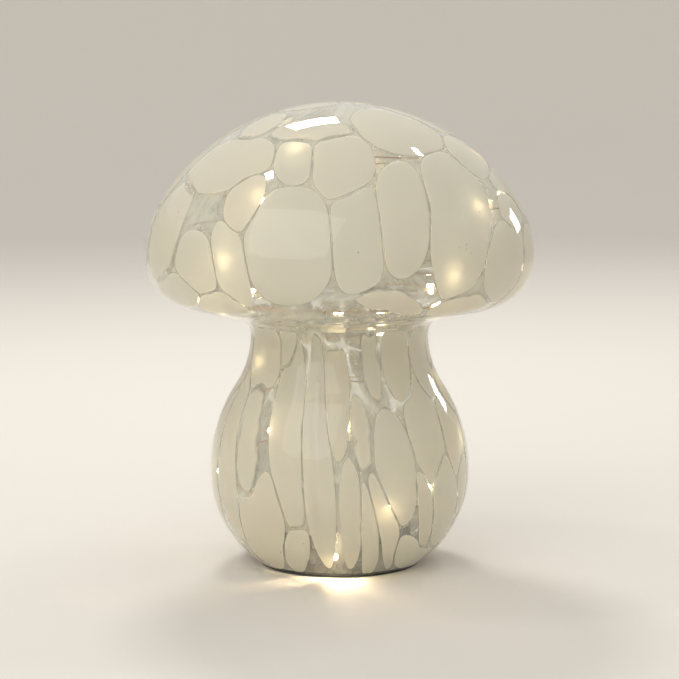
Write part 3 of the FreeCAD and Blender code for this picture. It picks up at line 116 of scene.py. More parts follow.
# Opal patches out of the photograph's sight: distance down the glass from the crown or the neck, how many
# in a ring, half length, half width, in metres, and whether the ring goes on across the front.
CAP_RINGS = (
    (0.022, 3, 0.019, 0.018, False),
    (0.052, 7, 0.023, 0.021, False),
    (0.090, 11, 0.028, 0.024, False),
    (0.128, 13, 0.024, 0.022, False),
    (0.155, 15, 0.015, 0.018, False),
    (0.173, 17, 0.008, 0.013, True),
    (0.188, 19, 0.009, 0.009, True),
)
STEM_RINGS = (
    (0.008, 19, 0.016, 0.0092, False),
    (0.040, 17, 0.030, 0.0105, False),
    (0.079, 18, 0.030, 0.0102, False),
    (0.104, 21, 0.013, 0.0092, False),
    (0.1175, 22, 0.009, 0.0098, False),
)
FEATHERED = {"crown_left", "crown_left_slip", "ear_left", "chin_middle", "chin_right", "top_slip", "slip",
             "top_middle", "outer_left"}
STRONGEST_GLOWS = ((327, 553), (229, 262))
DROP_REACH = 0.006  # no part of a drop lies farther than this from its middle
STEM_MAP_RADIUS = 0.05
EGG_POINT = 0.16  # how much narrower an egg's lower end is
WOBBLE = 0.006  # how uneven a patch's outline is
FOOT_MARGIN = 0.0008  # clear glass left above the ground foot
SEED_CLUSTER = (467, 248)  # pixel of the one cluster of bubbles that shows
CELL_LOW, CELL_HIGH = (box.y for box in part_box("battery_left"))
CELL_SLEEVE_START = CELL_LOW + 0.0003
CELL_SLEEVE_END = CELL_HIGH - 0.0009
CELL_BAND_START = CELL_HIGH - 0.0155
CELL_TRIM = 0.0007  # line beside the band
FLOW_STRETCH = 9.0  # per metre down the glass
LINE_STEP = 0.0005  # between points of the glass's line
NECK_LIFT = 0.006  # how far above the narrowest line the cap's patches give way to the stem's
CAP_SECTOR, STEM_SECTOR = math.radians(78), math.radians(76)  # to each side of the front
PATCH_CORNERS = 60
PATCH_RINGS = (0.3, 0.58, 0.78, 0.9, 0.965)  # rings of points in a patch, 1 at its outline
TURN_JITTER, FALL_JITTER = 0.35, 0.8  # unevenness of the rings, of a step round and of a half length down
LEAST_SIZE, SIZE_SPREAD = 0.75, 0.55  # of the ring's size
LEAN_SPREAD, LEAN_LEFT = 20, 14  # degrees
LEAST_ROOM = 0.12  # a patch with less room than this is left out
SOFTENED_MOST = 1.015  # how far smoothing may move an outline outwards
FEATHER = 0.8  # softness of the patches in FEATHERED, of 1
VEIL_RINGS, VEIL_SIDES = 130, 144
CLUSTER_TURN, CLUSTER_FALL, CLUSTER_SPIN = 0.012, 0.0009, 2.4  # spiral in which that cluster's bubbles lie
OPAL_PASSES = 0.38  # share of the light that an opal patch lets through
FRAY_MIDDLE, FRAY_STRENGTH = 0.42, 1.8
DUST_SCALE, HAZE_SCALE = 9.0, 0.4  # finer and coarser than the pattern that they go with
FLOOR_SHADE = 0.97
LAMP_AIM = (0, 0, 0.12)
# Lamps of the studio: place, width and height, power, tint.
STUDIO_LAMPS = {
    "overhead_softbox": ((-0.14, 0.75, 1.05), (0.26, 0.16), 5.0, (1.0, 0.98, 0.95)),
    "front_softbox": ((-0.9, -1.5, 1.3), (1.8, 1.8), 13.0, (1.0, 0.97, 0.93)),
    "side_window": ((1.1, 1.1, 0.45), (0.22, 0.22), 1.8, (1.0, 0.97, 0.94)),
    "left_lamp": ((-0.5, 0.05, 1.1), (0.1, 0.06), 0.8, (1.0, 0.98, 0.96)),
    "right_lamp": ((0.5, 0.48, 1.1), (0.1, 0.05), 0.8, (1.0, 0.98, 0.96)),
}


# ------------------------------------------------------------------------------------------ sizes and colours
def metres(name, about, default):
    return FloatProperty(name=name, description=about, default=default, unit="LENGTH", precision=4)


def colour(name, about, default):
    return FloatVectorProperty(name=name, description=about, default=default, subtype="COLOR", min=0, max=1)


class GlassSizes(bpy.types.PropertyGroup):
    foot: metres("Foot", "Height of the glass's ground foot", GLASS_LOW.z)
    crown: metres("Crown", "Height of the top of the cap", GLASS_HIGH.z)
    cap_radius: metres("Cap radius", "Cap at its widest", GLASS_HIGH.x)
    rim_round: metres("Rim round", "Rim of the cap, turning under", 0.022)
    neck_radius: metres("Neck radius", "Narrowest part of the stem", 0.0414)
    neck_round: metres("Neck round", "Hollow between cap and neck", 0.009)
    bulb_radius: metres("Bulb radius", "Stem at its widest", 0.0607)
    bulb_height: metres("Bulb height", "Where the stem is widest, above the foot", 0.042)
    bulb_round: metres("Bulb round", "Swelling of the stem above its widest line", 0.0725)
    foot_radius: metres("Foot radius", "Outside of the foot", 0.03912)
    widest_share: FloatProperty(name="Widest share", description="Where the cap is widest, of the height",
                                default=0.665)
    shoulder_share: FloatProperty(name="Shoulder share", description="Round of the cap's side, of its rise",
                                  default=0.7)
    slope: FloatProperty(name="Underside slope", description="Fall of the underside towards the neck",
                         default=math.radians(13), subtype="ANGLE")


class PatchLook(bpy.types.PropertyGroup):
    opal: colour("Opal", "Colour of the patches", (0.89, 0.85, 0.745))
    depth: metres("Depth", "Middle of the patches under the outside of the glass", 0.0009)
    thickness: metres("Thickness", "Patches at their middle", 0.0010)
    crisp: metres("Crisp edge", "Width over which a sharp patch fades out", 0.0005)
    feathered: metres("Feathered edge", "Width over which a soft patch fades out", 0.0035)
    web: metres("Web", "Half of the clear glass left between two patches that meet", 0.00025)
    seen_growth: FloatProperty(name="Growth in front", description="How much further a patch in front runs"
                               " where it has room", default=0.12)
    hidden_growth: FloatProperty(name="Growth behind", description="How much further the other patches run"
                                 " where they have room", default=0.2)
    veil: FloatProperty(name="Veil", description="How milky the glass is between the patches", default=0.5,
                        min=0, max=1)
    seeds: IntProperty(name="Seeds", description="How many lone bubbles the glass holds", default=46)
    seed_radius: metres("Seed radius", "Largest bubble", 0.00032)
    veil_depth: metres("Veil depth", "Outer side of the milky veil under the outside of the glass", 0.0016)
    veil_thickness: metres("Veil thickness", "Thickness of the milky veil", 0.0003)
    seed: IntProperty(name="Seed", description="Layout of the patches out of the photograph's sight",
                      default=7)


class MarkLook(bpy.types.PropertyGroup):
    size: metres("Mark size", "Height of each mark beside the switch", 0.0011)
    line: metres("Mark line", "Width of a mark's line", 0.00026)
    ink: metres("Ink", "Thickness of the print", 0.00004)
    step: metres("Step", "From one switch position to the next", 0.002)
    gap: metres("Gap", "From the knob to the marks", 0.0021)


class GlowLook(bpy.types.PropertyGroup):
    glow: colour("Glow", "Colour of the lights", (1.0, 0.80, 0.50))
    drop_strength: FloatProperty(name="Drop strength", description="Light of the strongest drop",
                                 default=600.0)


class StageLook(bpy.types.PropertyGroup):
    floor: colour("Floor", "Colour of floor and backdrop", (0.74, 0.71, 0.66))


# --------------------------------------------------------------------------------------------- node helpers
def add_node(tree, kind, inputs=(), **settings):
    """A node with its settings, and its inputs set or linked by name or number."""
    made = tree.nodes.new(f"ShaderNode{kind}")
    for name, value in settings.items():
        setattr(made, name, value)
    for key, value in dict(inputs).items():
        if isinstance(value, bpy.types.NodeSocket):
            tree.links.new(value, made.inputs[key])
        else:
            made.inputs[key].default_value = value
    return made


def maths(tree, operation, first, second=0.0, clamp=False):
    return add_node(tree, "Math", {0: first, 1: second}, operation=operation, use_clamp=clamp).outputs[0]


def mixed_colour(tree, share, first, second):
    made = add_node(tree, "Mix", {0: share, 6: first, 7: second}, data_type="RGBA")
    return made.outputs[2]


def noise(tree, place, scale, **more):
    return add_node(tree, "TexNoise", {"Vector": place, "Scale": scale, **more}).outputs["Fac"]


def stored(tree, name, output="Fac"):
    """A value that a piece's mesh holds at its points."""
    return add_node(tree, "Attribute", attribute_name=name).outputs[output]


def principled(tree, inputs):
    return add_node(tree, "BsdfPrincipled", inputs).outputs[0]


def mixed_shader(tree, share, first, second):
    return add_node(tree, "MixShader", {0: share, 1: first, 2: second}).outputs[0]


def new_group(name, inputs, outputs):
    """A shader node group: its sockets are (name, kind, default)."""
    tree = bpy.data.node_groups.new(name, "ShaderNodeTree")
    for label, kind, default in inputs:
        socket = tree.interface.new_socket(label, in_out="INPUT", socket_type=f"NodeSocket{kind}")
        if default is not None:
            socket.default_value = default
    for label, kind in outputs:
        tree.interface.new_socket(label, in_out="OUTPUT", socket_type=f"NodeSocket{kind}")
    return tree, tree.nodes.new("NodeGroupInput").outputs, tree.nodes.new("NodeGroupOutput")


def place_group(tree, name, inputs):
    return add_node(tree, "Group", inputs, node_tree=bpy.data.node_groups[name]).outputs


def object_place(tree):
    return add_node(tree, "TexCoord").outputs["Object"]


def new_material(name):
    """An empty material and its node tree."""
    material = bpy.data.materials.new(name)
    material.use_nodes = True
    material.node_tree.nodes.clear()
    return material, material.node_tree


def finished(material, shader):
    """The material with a shader on its surface."""
    tree = material.node_tree
    tree.links.new(shader, tree.nodes.new("ShaderNodeOutputMaterial").inputs["Surface"])
    return material


def dress(node, material):
    """Gives a CAD node its finish."""
    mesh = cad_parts[node].data
    mesh.materials.clear()
    mesh.materials.append(material)


def rgba(values):
    return (*values, 1.0)


# ------------------------------------------------------------------------------------------ shared effects
def make_mottle():
    """Slow uneven tone over a surface, with fine dust in it, and the roughness that goes with them."""
    tree, given, out = new_group(
        "Mottle",
        [("Color", "Color", (0.5, 0.5, 0.5, 1)), ("Shade", "Color", (0.4, 0.4, 0.4, 1)),
         ("Scale", "Float", 60.0), ("Amount", "Float", 0.5), ("Roughness", "Float", 0.5),
         ("Spread", "Float", 0.1)],
        [("Color", "Color"), ("Roughness", "Float")])
    place = object_place(tree)
    slow = noise(tree, place, given["Scale"], Detail=4.0, Roughness=0.6)
    share = maths(tree, "MULTIPLY", slow, given["Amount"])
    tone = mixed_colour(tree, share, given["Color"], given["Shade"])
    fine = noise(tree, place, maths(tree, "MULTIPLY", given["Scale"], DUST_SCALE), Detail=2.0)
    swing = maths(tree, "MULTIPLY", maths(tree, "SUBTRACT", fine, 0.5), given["Spread"])
    tree.links.new(tone, out.inputs["Color"])
    tree.links.new(maths(tree, "ADD", given["Roughness"], swing, clamp=True), out.inputs["Roughness"])


def make_moulded_grain():
    """Height of the fine spark-eroded grain on moulded plastic and rubber."""
    tree, given, out = new_group("Moulded Grain", [("Scale", "Float", 2500.0)], [("Height", "Float")])
    place = object_place(tree)
    pits = add_node(tree, "TexVoronoi", {"Vector": place, "Scale": given["Scale"]}).outputs["Distance"]
    haze = noise(tree, place, maths(tree, "MULTIPLY", given["Scale"], HAZE_SCALE))
    tree.links.new(maths(tree, "ADD", pits, haze), out.inputs["Height"])


def make_brushing():
    """Fine lines along one direction, as on rolled or plated metal."""
    tree, given, out = new_group(
        "Brushing", [("Scale", "Float", 400.0), ("Stretch", "Vector", (1.0, 12.0, 12.0))],
        [("Height", "Float")])
    mapped = add_node(tree, "Mapping",
                      {"Vector": object_place(tree), "Scale": given["Stretch"]}).outputs["Vector"]
    lines = noise(tree, mapped, given["Scale"], Detail=3.0)
    tree.links.new(lines, out.inputs["Height"])


def make_melt():
    """How opaque an opal patch is, from the distance to its edge, with the edge feathered down the glass."""
    tree, given, out = new_group(
        "Melt", [("Flow", "Vector", None), ("Edge", "Float", 0.0), ("Soft", "Float", 0.0012)],
        [("Mask", "Float")])
    frayed = noise(tree, given["Flow"], 9.0, Detail=1.5, Roughness=0.5)
    share = maths(tree, "MULTIPLY", maths(tree, "SUBTRACT", frayed, FRAY_MIDDLE), FRAY_STRENGTH)
    moved = maths(tree, "SUBTRACT", given["Edge"], maths(tree, "MULTIPLY", share, given["Soft"]))
    ramp = add_node(tree, "MapRange", {"Value": moved, "From Min": 0.0, "From Max": given["Soft"]},
                    interpolation_type="SMOOTHSTEP")
    tree.links.new(ramp.outputs["Result"], out.inputs["Mask"])


def make_milk():
    """Milky threads drawn down the glass, as a mask."""
    tree, given, out = new_group(
        "Milk", [("Flow", "Vector", None), ("Least", "Float", 0.1), ("Most", "Float", 0.6)],
        [("Mask", "Float")])
    threads = noise(tree, given["Flow"], 3.5, Detail=5.0, Roughness=0.65, Distortion=0.6)
    ramp = add_node(tree, "MapRange", {"Value": threads, "From Min": 0.36, "From Max": 0.66,
                                                 "To Min": given["Least"], "To Max": given["Most"]},
                    interpolation_type="SMOOTHSTEP")
    tree.links.new(ramp.outputs["Result"], out.inputs["Mask"])


def make_blown_waves():
    """The slow unevenness of blown glass, stretched down the lamp."""
    tree, given, out = new_group("Blown Waves", [("Scale", "Float", 14.0)], [("Height", "Float")])
    mapped = add_node(tree, "Mapping",
                      {"Vector": object_place(tree), "Scale": (1.0, 1.0, 0.45)}).outputs["Vector"]
    waves = noise(tree, mapped, given["Scale"], Detail=1.0, Roughness=0.3)
    tree.links.new(waves, out.inputs["Height"])


# ----------------------------------------------------------------------------------------------- materials
def bumped(tree, height, distance, strength=1.0):
    return add_node(tree, "Bump",
                    {"Height": height, "Distance": distance, "Strength": strength}).outputs["Normal"]


def let_lamps_through(tree, shader, tint):
    """Glass that light from lamps crosses straight, so that what it holds is lit."""
    path = add_node(tree, "LightPath").outputs
    clear = add_node(tree, "BsdfTransparent", {"Color": rgba(tint)}).outputs[0]
    passed = maths(tree, "MAXIMUM", path["Is Shadow Ray"], path["Is Diffuse Ray"])
    return mixed_shader(tree, passed, shader, clear)


def make_blown_glass():
    material, tree = new_material("blown_glass")
    waves = place_group(tree, "Blown Waves", {"Scale": 16.0})["Height"]
    glass = principled(tree, {
        "Base Color": (0.975, 0.985, 0.965, 1), "Roughness": 0.015, "IOR": 1.5, "Transmission Weight": 1.0,
        "Normal": bumped(tree, waves, 0.0012, 0.35)})
    return finished(material, let_lamps_through(tree, glass, (0.97, 0.975, 0.96)))


def seen_from_outside(tree, shader):
    """Leaves out the far skin of a thin lens, so that light crosses one layer of it and not two."""
    behind = add_node(tree, "NewGeometry").outputs["Backfacing"]
    clear = add_node(tree, "BsdfTransparent").outputs[0]
    return mixed_shader(tree, behind, shader, clear)


def make_opal(look):
    material, tree = new_material("opal_patch")
    edge = stored(tree, "edge")
    tone = stored(tree, "tone")
    flow = stored(tree, "flow", "Vector")
    soft = stored(tree, "soft")
    mask = place_group(tree, "Melt", {"Flow": flow, "Edge": edge, "Soft": soft})["Mask"]
    warm = tuple(c * f for c, f in zip(look.opal, (1.0, 0.985, 0.95)))
    cool = tuple(c * f for c, f in zip(look.opal, (0.93, 0.955, 0.96)))
    body = mixed_colour(tree, tone, rgba(warm), rgba(cool))
    tinted = place_group(tree, "Mottle", {
        "Color": body, "Shade": rgba(cool), "Scale": 45.0, "Amount": 0.5})["Color"]
    opal = principled(tree, {
        "Base Color": tinted, "Roughness": 0.6, "Specular IOR Level": 0.0, "Alpha": mask})
    passing = add_node(tree, "BsdfTranslucent", {"Color": tinted}).outputs[0]
    clear = add_node(tree, "BsdfTransparent").outputs[0]
    passing = mixed_shader(tree, mask, clear, passing)
    both = mixed_shader(tree, OPAL_PASSES, opal, passing)
    return finished(material, seen_from_outside(tree, both))


def make_bubble():
    """Air held in the glass."""
    material, tree = new_material("air_bubble")
    tone = place_group(tree, "Mottle", {
        "Color": (0.9, 0.92, 0.9, 1), "Shade": (0.7, 0.74, 0.72, 1), "Scale": 900.0})["Color"]
    air = principled(tree, {
        "Base Color": tone, "Roughness": 0.02, "IOR": 0.667, "Transmission Weight": 1.0})
    return finished(material, let_lamps_through(tree, air, (0.97, 0.97, 0.97)))


def make_milky_veil(look):
    material, tree = new_material("milky_veil")
    flow = stored(tree, "flow", "Vector")
    mask = place_group(tree, "Milk", {"Flow": flow, "Least": look.veil * 0.4, "Most": look.veil})["Mask"]
    tint = place_group(tree, "Mottle", {
        "Color": rgba(look.opal), "Shade": (0.72, 0.74, 0.68, 1), "Scale": 30.0, "Amount": 0.9})["Color"]
    milk = principled(tree, {
        "Base Color": tint, "Roughness": 0.7, "Specular IOR Level": 0.0, "Alpha": mask})
    return finished(material, seen_from_outside(tree, milk))


def make_solid(name, base, shade, roughness, grain=0.0, grain_scale=2500.0, scale=60.0, metallic=0.0,
               brushed=None, specular=0.5):
    """A solid finish: mottled colour, and moulded grain or brushing where it is asked for."""
    material, tree = new_material(name)
    tone = place_group(tree, "Mottle", {"Color": rgba(base), "Shade": rgba(shade), "Scale": scale,
                                        "Roughness": roughness, "Spread": 0.16, "Amount": 0.8})
    inputs = {"Base Color": tone["Color"], "Roughness": tone["Roughness"], "Metallic": metallic,
              "Specular IOR Level": specular}
    if brushed:
        lines = place_group(tree, "Brushing", {"Scale": brushed})
        inputs["Normal"] = bumped(tree, lines["Height"], 0.00003)
    elif grain:
        pits = place_group(tree, "Moulded Grain", {"Scale": grain_scale})
        inputs["Normal"] = bumped(tree, pits["Height"], grain)
    shader = principled(tree, inputs)
    return finished(material, shader)


def drop_behind(x, y):
    """Middle of the clear drop nearest to the line of sight through a pixel, on the near side of the lamp."""
    corners = np.array([v.co[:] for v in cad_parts["light_drops"].data.vertices])
    ray = np.array(photo_ray(x, y)[:])
    off = corners - np.array(CAMERA_PLACE[:])
    ahead = off @ ray
    aside = np.linalg.norm(off - ahead[:, None] * ray, axis=1) + np.where(corners[:, 1] < 0, 0, 1)
    nearest = corners[int(np.argmin(aside))]
    return corners[np.linalg.norm(corners - nearest, axis=1) < DROP_REACH].mean(axis=0)


def share_between(tree, along, low, high):
    """Mask of the stretch between two places."""
    above = maths(tree, "GREATER_THAN", along, low)
    return maths(tree, "MULTIPLY", above, maths(tree, "LESS_THAN", along, high))


def make_cell(name, plus_side):
    """A cell's sleeve with its pale band at the plus end, and the bare can at both ends."""
    material, tree = new_material(name)
    across = add_node(tree, "SeparateXYZ", {"Vector": object_place(tree)}).outputs["Y"]
    along = maths(tree, "MULTIPLY", across, plus_side)
    band = share_between(tree, along, CELL_BAND_START, CELL_SLEEVE_END)
    trim = share_between(tree, along, CELL_BAND_START - CELL_TRIM, CELL_BAND_START)
    sleeve = share_between(tree, along, CELL_SLEEVE_START, CELL_SLEEVE_END)
    bare = maths(tree, "SUBTRACT", 1.0, sleeve)
    tone = mixed_colour(tree, band, (0.018, 0.075, 0.045, 1), (0.62, 0.47, 0.22, 1))
    tone = mixed_colour(tree, trim, tone, (0.75, 0.74, 0.70, 1))
    tone = mixed_colour(tree, bare, tone, (0.60, 0.59, 0.56, 1))
    finish = place_group(tree, "Mottle", {"Color": tone, "Shade": (0.2, 0.2, 0.19, 1), "Scale": 110.0,
                                          "Roughness": 0.3, "Spread": 0.14, "Amount": 0.18})
    metallic = maths(tree, "MAXIMUM", bare, maths(tree, "MULTIPLY", band, 0.7))
    shader = principled(tree, {
        "Base Color": finish["Color"], "Roughness": finish["Roughness"], "Metallic": metallic,
        "Coat Weight": maths(tree, "MULTIPLY", sleeve, 0.4)})
    return finished(material, shader)


def make_board_finish():
    """Solder mask over copper tracks."""
    material, tree = new_material("solder_mask")
    place = object_place(tree)
    tracks = add_node(tree, "TexBrick", {
        "Vector": place, "Scale": 260.0, "Color1": (0.012, 0.13, 0.05, 1), "Color2": (0.015, 0.15, 0.06, 1),
        "Mortar": (0.035, 0.26, 0.10, 1), "Mortar Size": 0.05, "Mortar Smooth": 0.2}).outputs
    finish = place_group(tree, "Mottle", {
        "Color": tracks["Color"], "Shade": (0.01, 0.09, 0.04, 1), "Scale": 200.0, "Roughness": 0.28,
        "Spread": 0.1, "Amount": 0.5})
    shader = principled(tree, {
        "Base Color": finish["Color"], "Roughness": finish["Roughness"], "Coat Weight": 0.3,
        "Normal": bumped(tree, tracks["Fac"], 0.00003)})
    return finished(material, shader)


def make_glowing(name, base, glow, strength):
    """A lit finish whose brightness differs from light to light along the string."""
    material, tree = new_material(name)
    place = object_place(tree)
    spread = noise(tree, place, 24.0)
    share = add_node(tree, "MapRange", {"Value": spread, "From Min": 0.35, "From Max": 0.65,
                                                  "To Min": 0.02, "To Max": 0.045}).outputs[0]
    for pixel in STRONGEST_GLOWS:
        away = add_node(tree, "VectorMath", {0: place, 1: tuple(drop_behind(*pixel))},
                        operation="DISTANCE").outputs["Value"]
        share = maths(tree, "MAXIMUM", share, maths(tree, "LESS_THAN", away, DROP_REACH))
    lit = mixed_colour(tree, share, (0, 0, 0, 1), rgba(glow))
    shader = principled(tree, {
        "Base Color": rgba(base), "Roughness": 0.25, "Emission Color": lit,
        "Emission Strength": strength})
    return finished(material, shader)


# ------------------------------------------------------------------------------------------- the glass's line
def glass_line(sizes):
    """The outside of the glass from crown to foot: distance, radius, height and outward normal of points."""
    height = sizes.crown - sizes.foot
    widest = sizes.foot + sizes.widest_share * height
    rise = sizes.crown - widest
    shoulder = sizes.shoulder_share * rise
    shoulder_r = sizes.cap_radius - shoulder
    crown_round = (shoulder_r ** 2 + rise ** 2 - shoulder ** 2) / (2 * (rise - shoulder))
    crown_z = sizes.crown - crown_round
    meet = math.atan2(widest - crown_z, shoulder_r)
    rim_r = sizes.cap_radius - sizes.rim_round
    tilt = math.pi / 2 - sizes.slope
    rim_end = (rim_r + sizes.rim_round * math.cos(tilt), widest - sizes.rim_round * math.sin(tilt))
    hollow_r = sizes.neck_radius + sizes.neck_round
    hollow_start_r = hollow_r - sizes.neck_round * math.sin(sizes.slope)
    neck_z = (rim_end[1] - (rim_end[0] - hollow_start_r) * math.tan(sizes.slope)
              - sizes.neck_round * math.cos(sizes.slope))
    bulb_z = sizes.foot + sizes.bulb_height
    swell, stem_rise = sizes.bulb_radius - sizes.neck_radius, neck_z - bulb_z
    rounds = (swell ** 2 + stem_rise ** 2) / (2 * swell)
    waist = rounds - sizes.bulb_round
    turn = math.asin(stem_rise / rounds)
    foot_in = sizes.bulb_radius - sizes.foot_radius
    lower = (foot_in ** 2 + sizes.bulb_height ** 2) / (2 * foot_in)
    half = math.pi / 2
    arcs = [
        ((0, crown_z), crown_round, half, meet, 1),
        ((shoulder_r, widest), shoulder, meet, 0, 1),
        ((rim_r, widest), sizes.rim_round, 0, -tilt, 1),
        ((hollow_r, neck_z), sizes.neck_round, half + sizes.slope, 2 * half, -1),
        ((sizes.neck_radius + waist, neck_z), waist, 2 * half, 2 * half + turn, -1),
        ((sizes.bulb_radius - sizes.bulb_round, bulb_z), sizes.bulb_round, turn, 0, 1),
        ((sizes.bulb_radius - lower, bulb_z), lower, 0, -math.asin(sizes.bulb_height / lower), 1),
    ]
    rows = []
    for (centre_r, centre_z), radius, first, last, side in arcs:
        angles = np.linspace(first, last, max(3, int(radius * abs(last - first) / LINE_STEP)))
        rows.append(np.stack([centre_r + radius * np.cos(angles), centre_z + radius * np.sin(angles),
                              side * np.cos(angles), side * np.sin(angles)], axis=1))
    rows = np.concatenate(rows)
    lengths = np.hypot(*np.diff(rows[:, :2], axis=0).T)
    keep = np.concatenate([[True], lengths > 1e-7])
    rows = rows[keep]
    distance = np.concatenate([[0], np.cumsum(np.hypot(*np.diff(rows[:, :2], axis=0).T))])
    from_neck = np.hypot(rows[:, 0] - hollow_r + sizes.neck_round, rows[:, 1] - neck_z)
    return {"distance": distance, "rows": rows, "neck": distance[int(np.argmin(from_neck))] - NECK_LIFT}


def on_glass(line, around, down, depth):
    """Points at an angle round the glass, a distance down from its crown and a depth under its outside."""
    radius, height, out_r, out_z = (np.interp(down, line["distance"], line["rows"][:, i]) for i in range(4))
    radius = radius - depth * out_r
    return np.stack([radius * np.cos(around), radius * np.sin(around), height - depth * out_z], axis=-1)


def photo_ray(x, y):
    """Direction from the camera through a pixel of the photograph."""
    middle = PHOTO_SIDE / 2
    across, up = (x - middle) / CAMERA_PIXELS, (middle - y) / CAMERA_PIXELS
    ahead = Vector((across, 1.0, up))
    return Matrix.Rotation(-CAMERA_DOWN, 3, "X") @ ahead.normalized()


class CapMap:
    """The cap spread flat round its crown."""

    def __init__(self, line):
        self.line, self.low, self.high = line, 0.0, line["neck"]

    def flat(self, around, down):
        return np.stack([down * np.cos(around), down * np.sin(around)], axis=-1)

    def round(self, flat):
        return np.arctan2(flat[..., 1], flat[..., 0]), np.hypot(flat[..., 0], flat[..., 1])

    def axes(self, around, down):
        """Unit steps along and across the glass's fall at a place, per metre of glass."""
        radius = max(float(np.interp(down, self.line["distance"], self.line["rows"][:, 0])), 0.004)
        fall = np.array([math.cos(around), math.sin(around)])
        return fall, np.array([-fall[1], fall[0]]) * max(down, 0.004) / radius


class StemMap:
    """The stem rolled out flat."""

    def __init__(self, line):
        self.line, self.low, self.high = line, line["neck"], line["distance"][-1] - FOOT_MARGIN

    def flat(self, around, down):
        turned = np.mod(np.asarray(around) + math.pi / 2 + math.pi, 2 * math.pi) - math.pi
        return np.stack([STEM_MAP_RADIUS * turned, np.asarray(down)], axis=-1)

    def round(self, flat):
        return flat[..., 0] / STEM_MAP_RADIUS - math.pi / 2, flat[..., 1]

    def axes(self, around, down):
        return np.array([0.0, 1.0]), np.array([1.0, 0.0])


def glass_tree():
    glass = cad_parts["glass_body"].data
    return BVHTree.FromPolygons([v.co for v in glass.vertices], [tuple(p.vertices) for p in glass.polygons])


def seen_place(tree, line, x, y):
    """Angle and distance down the glass of the point that a pixel shows, or None."""
    hit = tree.ray_cast(CAMERA_PLACE, photo_ray(x, y))[0]
    if hit is None:
        return None
    radius = math.hypot(hit.x, hit.y)
    nearest = int(np.argmin(np.hypot(line["rows"][:, 0] - radius, line["rows"][:, 1] - hit.z)))
    return math.atan2(hit.y, hit.x), float(line["distance"][nearest])


def seen_patch(tree, line, flat_map, spot):
    """A patch where the photograph shows it: its centre, and the matrix that makes its egg a unit circle."""
    x, y, half_width, half_height, lean = spot
    reach = 2.0
    places = [seen_place(tree, line, x + dx, y + dy)
              for dx, dy in ((0, 0), (reach, 0), (-reach, 0), (0, reach), (0, -reach))]
    if None in places:
        raise ValueError(f"no glass at pixel {x}, {y}")
    centre, right, left, low, high = (flat_map.flat(*place) for place in places)
    step = np.stack([(right - left) / (2 * reach), (low - high) / (2 * reach)], axis=1)
    turn = math.radians(lean)
    turned = np.array([[math.cos(turn), math.sin(turn)], [-math.sin(turn), math.cos(turn)]])
    shape = turned @ np.linalg.inv(step)
    return centre, np.diag([1 / half_width, 1 / half_height]) @ shape


def hidden_patches(flat_map, rings, first_angle, draw):
    """Patches all round, apart from the sector that the photograph shows."""
    made = []
    first_down = flat_map.low
    for down, count, half_length, half_width, crosses_front in rings:
        start = draw.random()
        for i in range(count):
            around = -math.pi / 2 + 2 * math.pi * (i + start + TURN_JITTER * (draw.random() - 0.5)) / count
            place = first_down + down + (draw.random() - 0.5) * half_length * FALL_JITTER
            grown = LEAST_SIZE + SIZE_SPREAD * draw.random()
            lean = math.radians(LEAN_SPREAD * draw.random() - LEAN_LEFT)
            from_front = abs(math.remainder(around + math.pi / 2, 2 * math.pi))
            if from_front < first_angle and not crosses_front:
                continue
            fall, across = flat_map.axes(around, place)
            steps = np.stack([across * half_width * grown, fall * half_length * grown], axis=1)
            turned = np.array([[math.cos(lean), -math.sin(lean)], [math.sin(lean), math.cos(lean)]])
            made.append((flat_map.flat(around, place), np.linalg.inv(steps) @ turned))
    return made


def reach_of(points, centre, shape):
    """How far points lie from a patch's centre, 1 at the edge of its egg."""
    off = (points - centre) @ shape.T
    length = np.hypot(off[..., 0], off[..., 1])
    return length * (1 + EGG_POINT * off[..., 1] / np.maximum(length, 1e-9) * np.minimum(length, 1))


def outline_of(index, patches, growth, flat_map, look, draw):
    """The patch's edge as flat points: its egg, cut back where others begin. None if nothing is left."""
    centre, shape = patches[index]
    angles = np.linspace(0, 2 * math.pi, PATCH_CORNERS, endpoint=False)
    steps = np.linspace(0, 1.4, 71)
    back = np.linalg.inv(shape)
    ways = np.stack([np.cos(angles), np.sin(angles)], axis=1) @ back.T
    points = centre + ways[:, None, :] * steps[None, :, None]
    size = 1 / np.linalg.norm(shape, axis=1).mean()
    own = reach_of(points, centre, shape)
    free = 1 + growth - own
    shift = 2 * math.pi * STEM_MAP_RADIUS if isinstance(flat_map, StemMap) else 0.0
    for other, (other_centre, other_shape) in enumerate(patches):
        if other == index:
            continue
        for moved in ((0.0, shift, -shift) if shift else (0.0,)):
            beside = reach_of(points, other_centre + np.array([moved, 0.0]), other_shape)
            free = np.minimum(free, (beside - own) / 2 - look.web / size)
    down = flat_map.round(points)[1]
    free = np.minimum(free, np.minimum(down - flat_map.low, flat_map.high - down) / size)
    if free[0, 0] <= LEAST_ROOM:
        return None
    reach = np.empty(PATCH_CORNERS)
    for i, row in enumerate(free):
        out = np.flatnonzero(row < 0)
        last = out[0] if len(out) else len(steps) - 1
        share = row[last - 1] / max(row[last - 1] - row[last], 1e-9)
        reach[i] = steps[last - 1] + (steps[last] - steps[last - 1]) * min(max(share, 0), 1)
    phases = [2 * math.pi * draw.random() for _ in range(2)]
    reach *= 1 + WOBBLE * (np.sin(3 * angles + phases[0]) + np.sin(5 * angles + phases[1]) - 1)
    kernel = (1, 2, 3, 2, 1)
    softened = sum(weight * np.roll(reach, k - 2) for k, weight in enumerate(kernel)) / sum(kernel)
    return centre, ways * np.minimum(softened, reach * SOFTENED_MOST)[:, None]


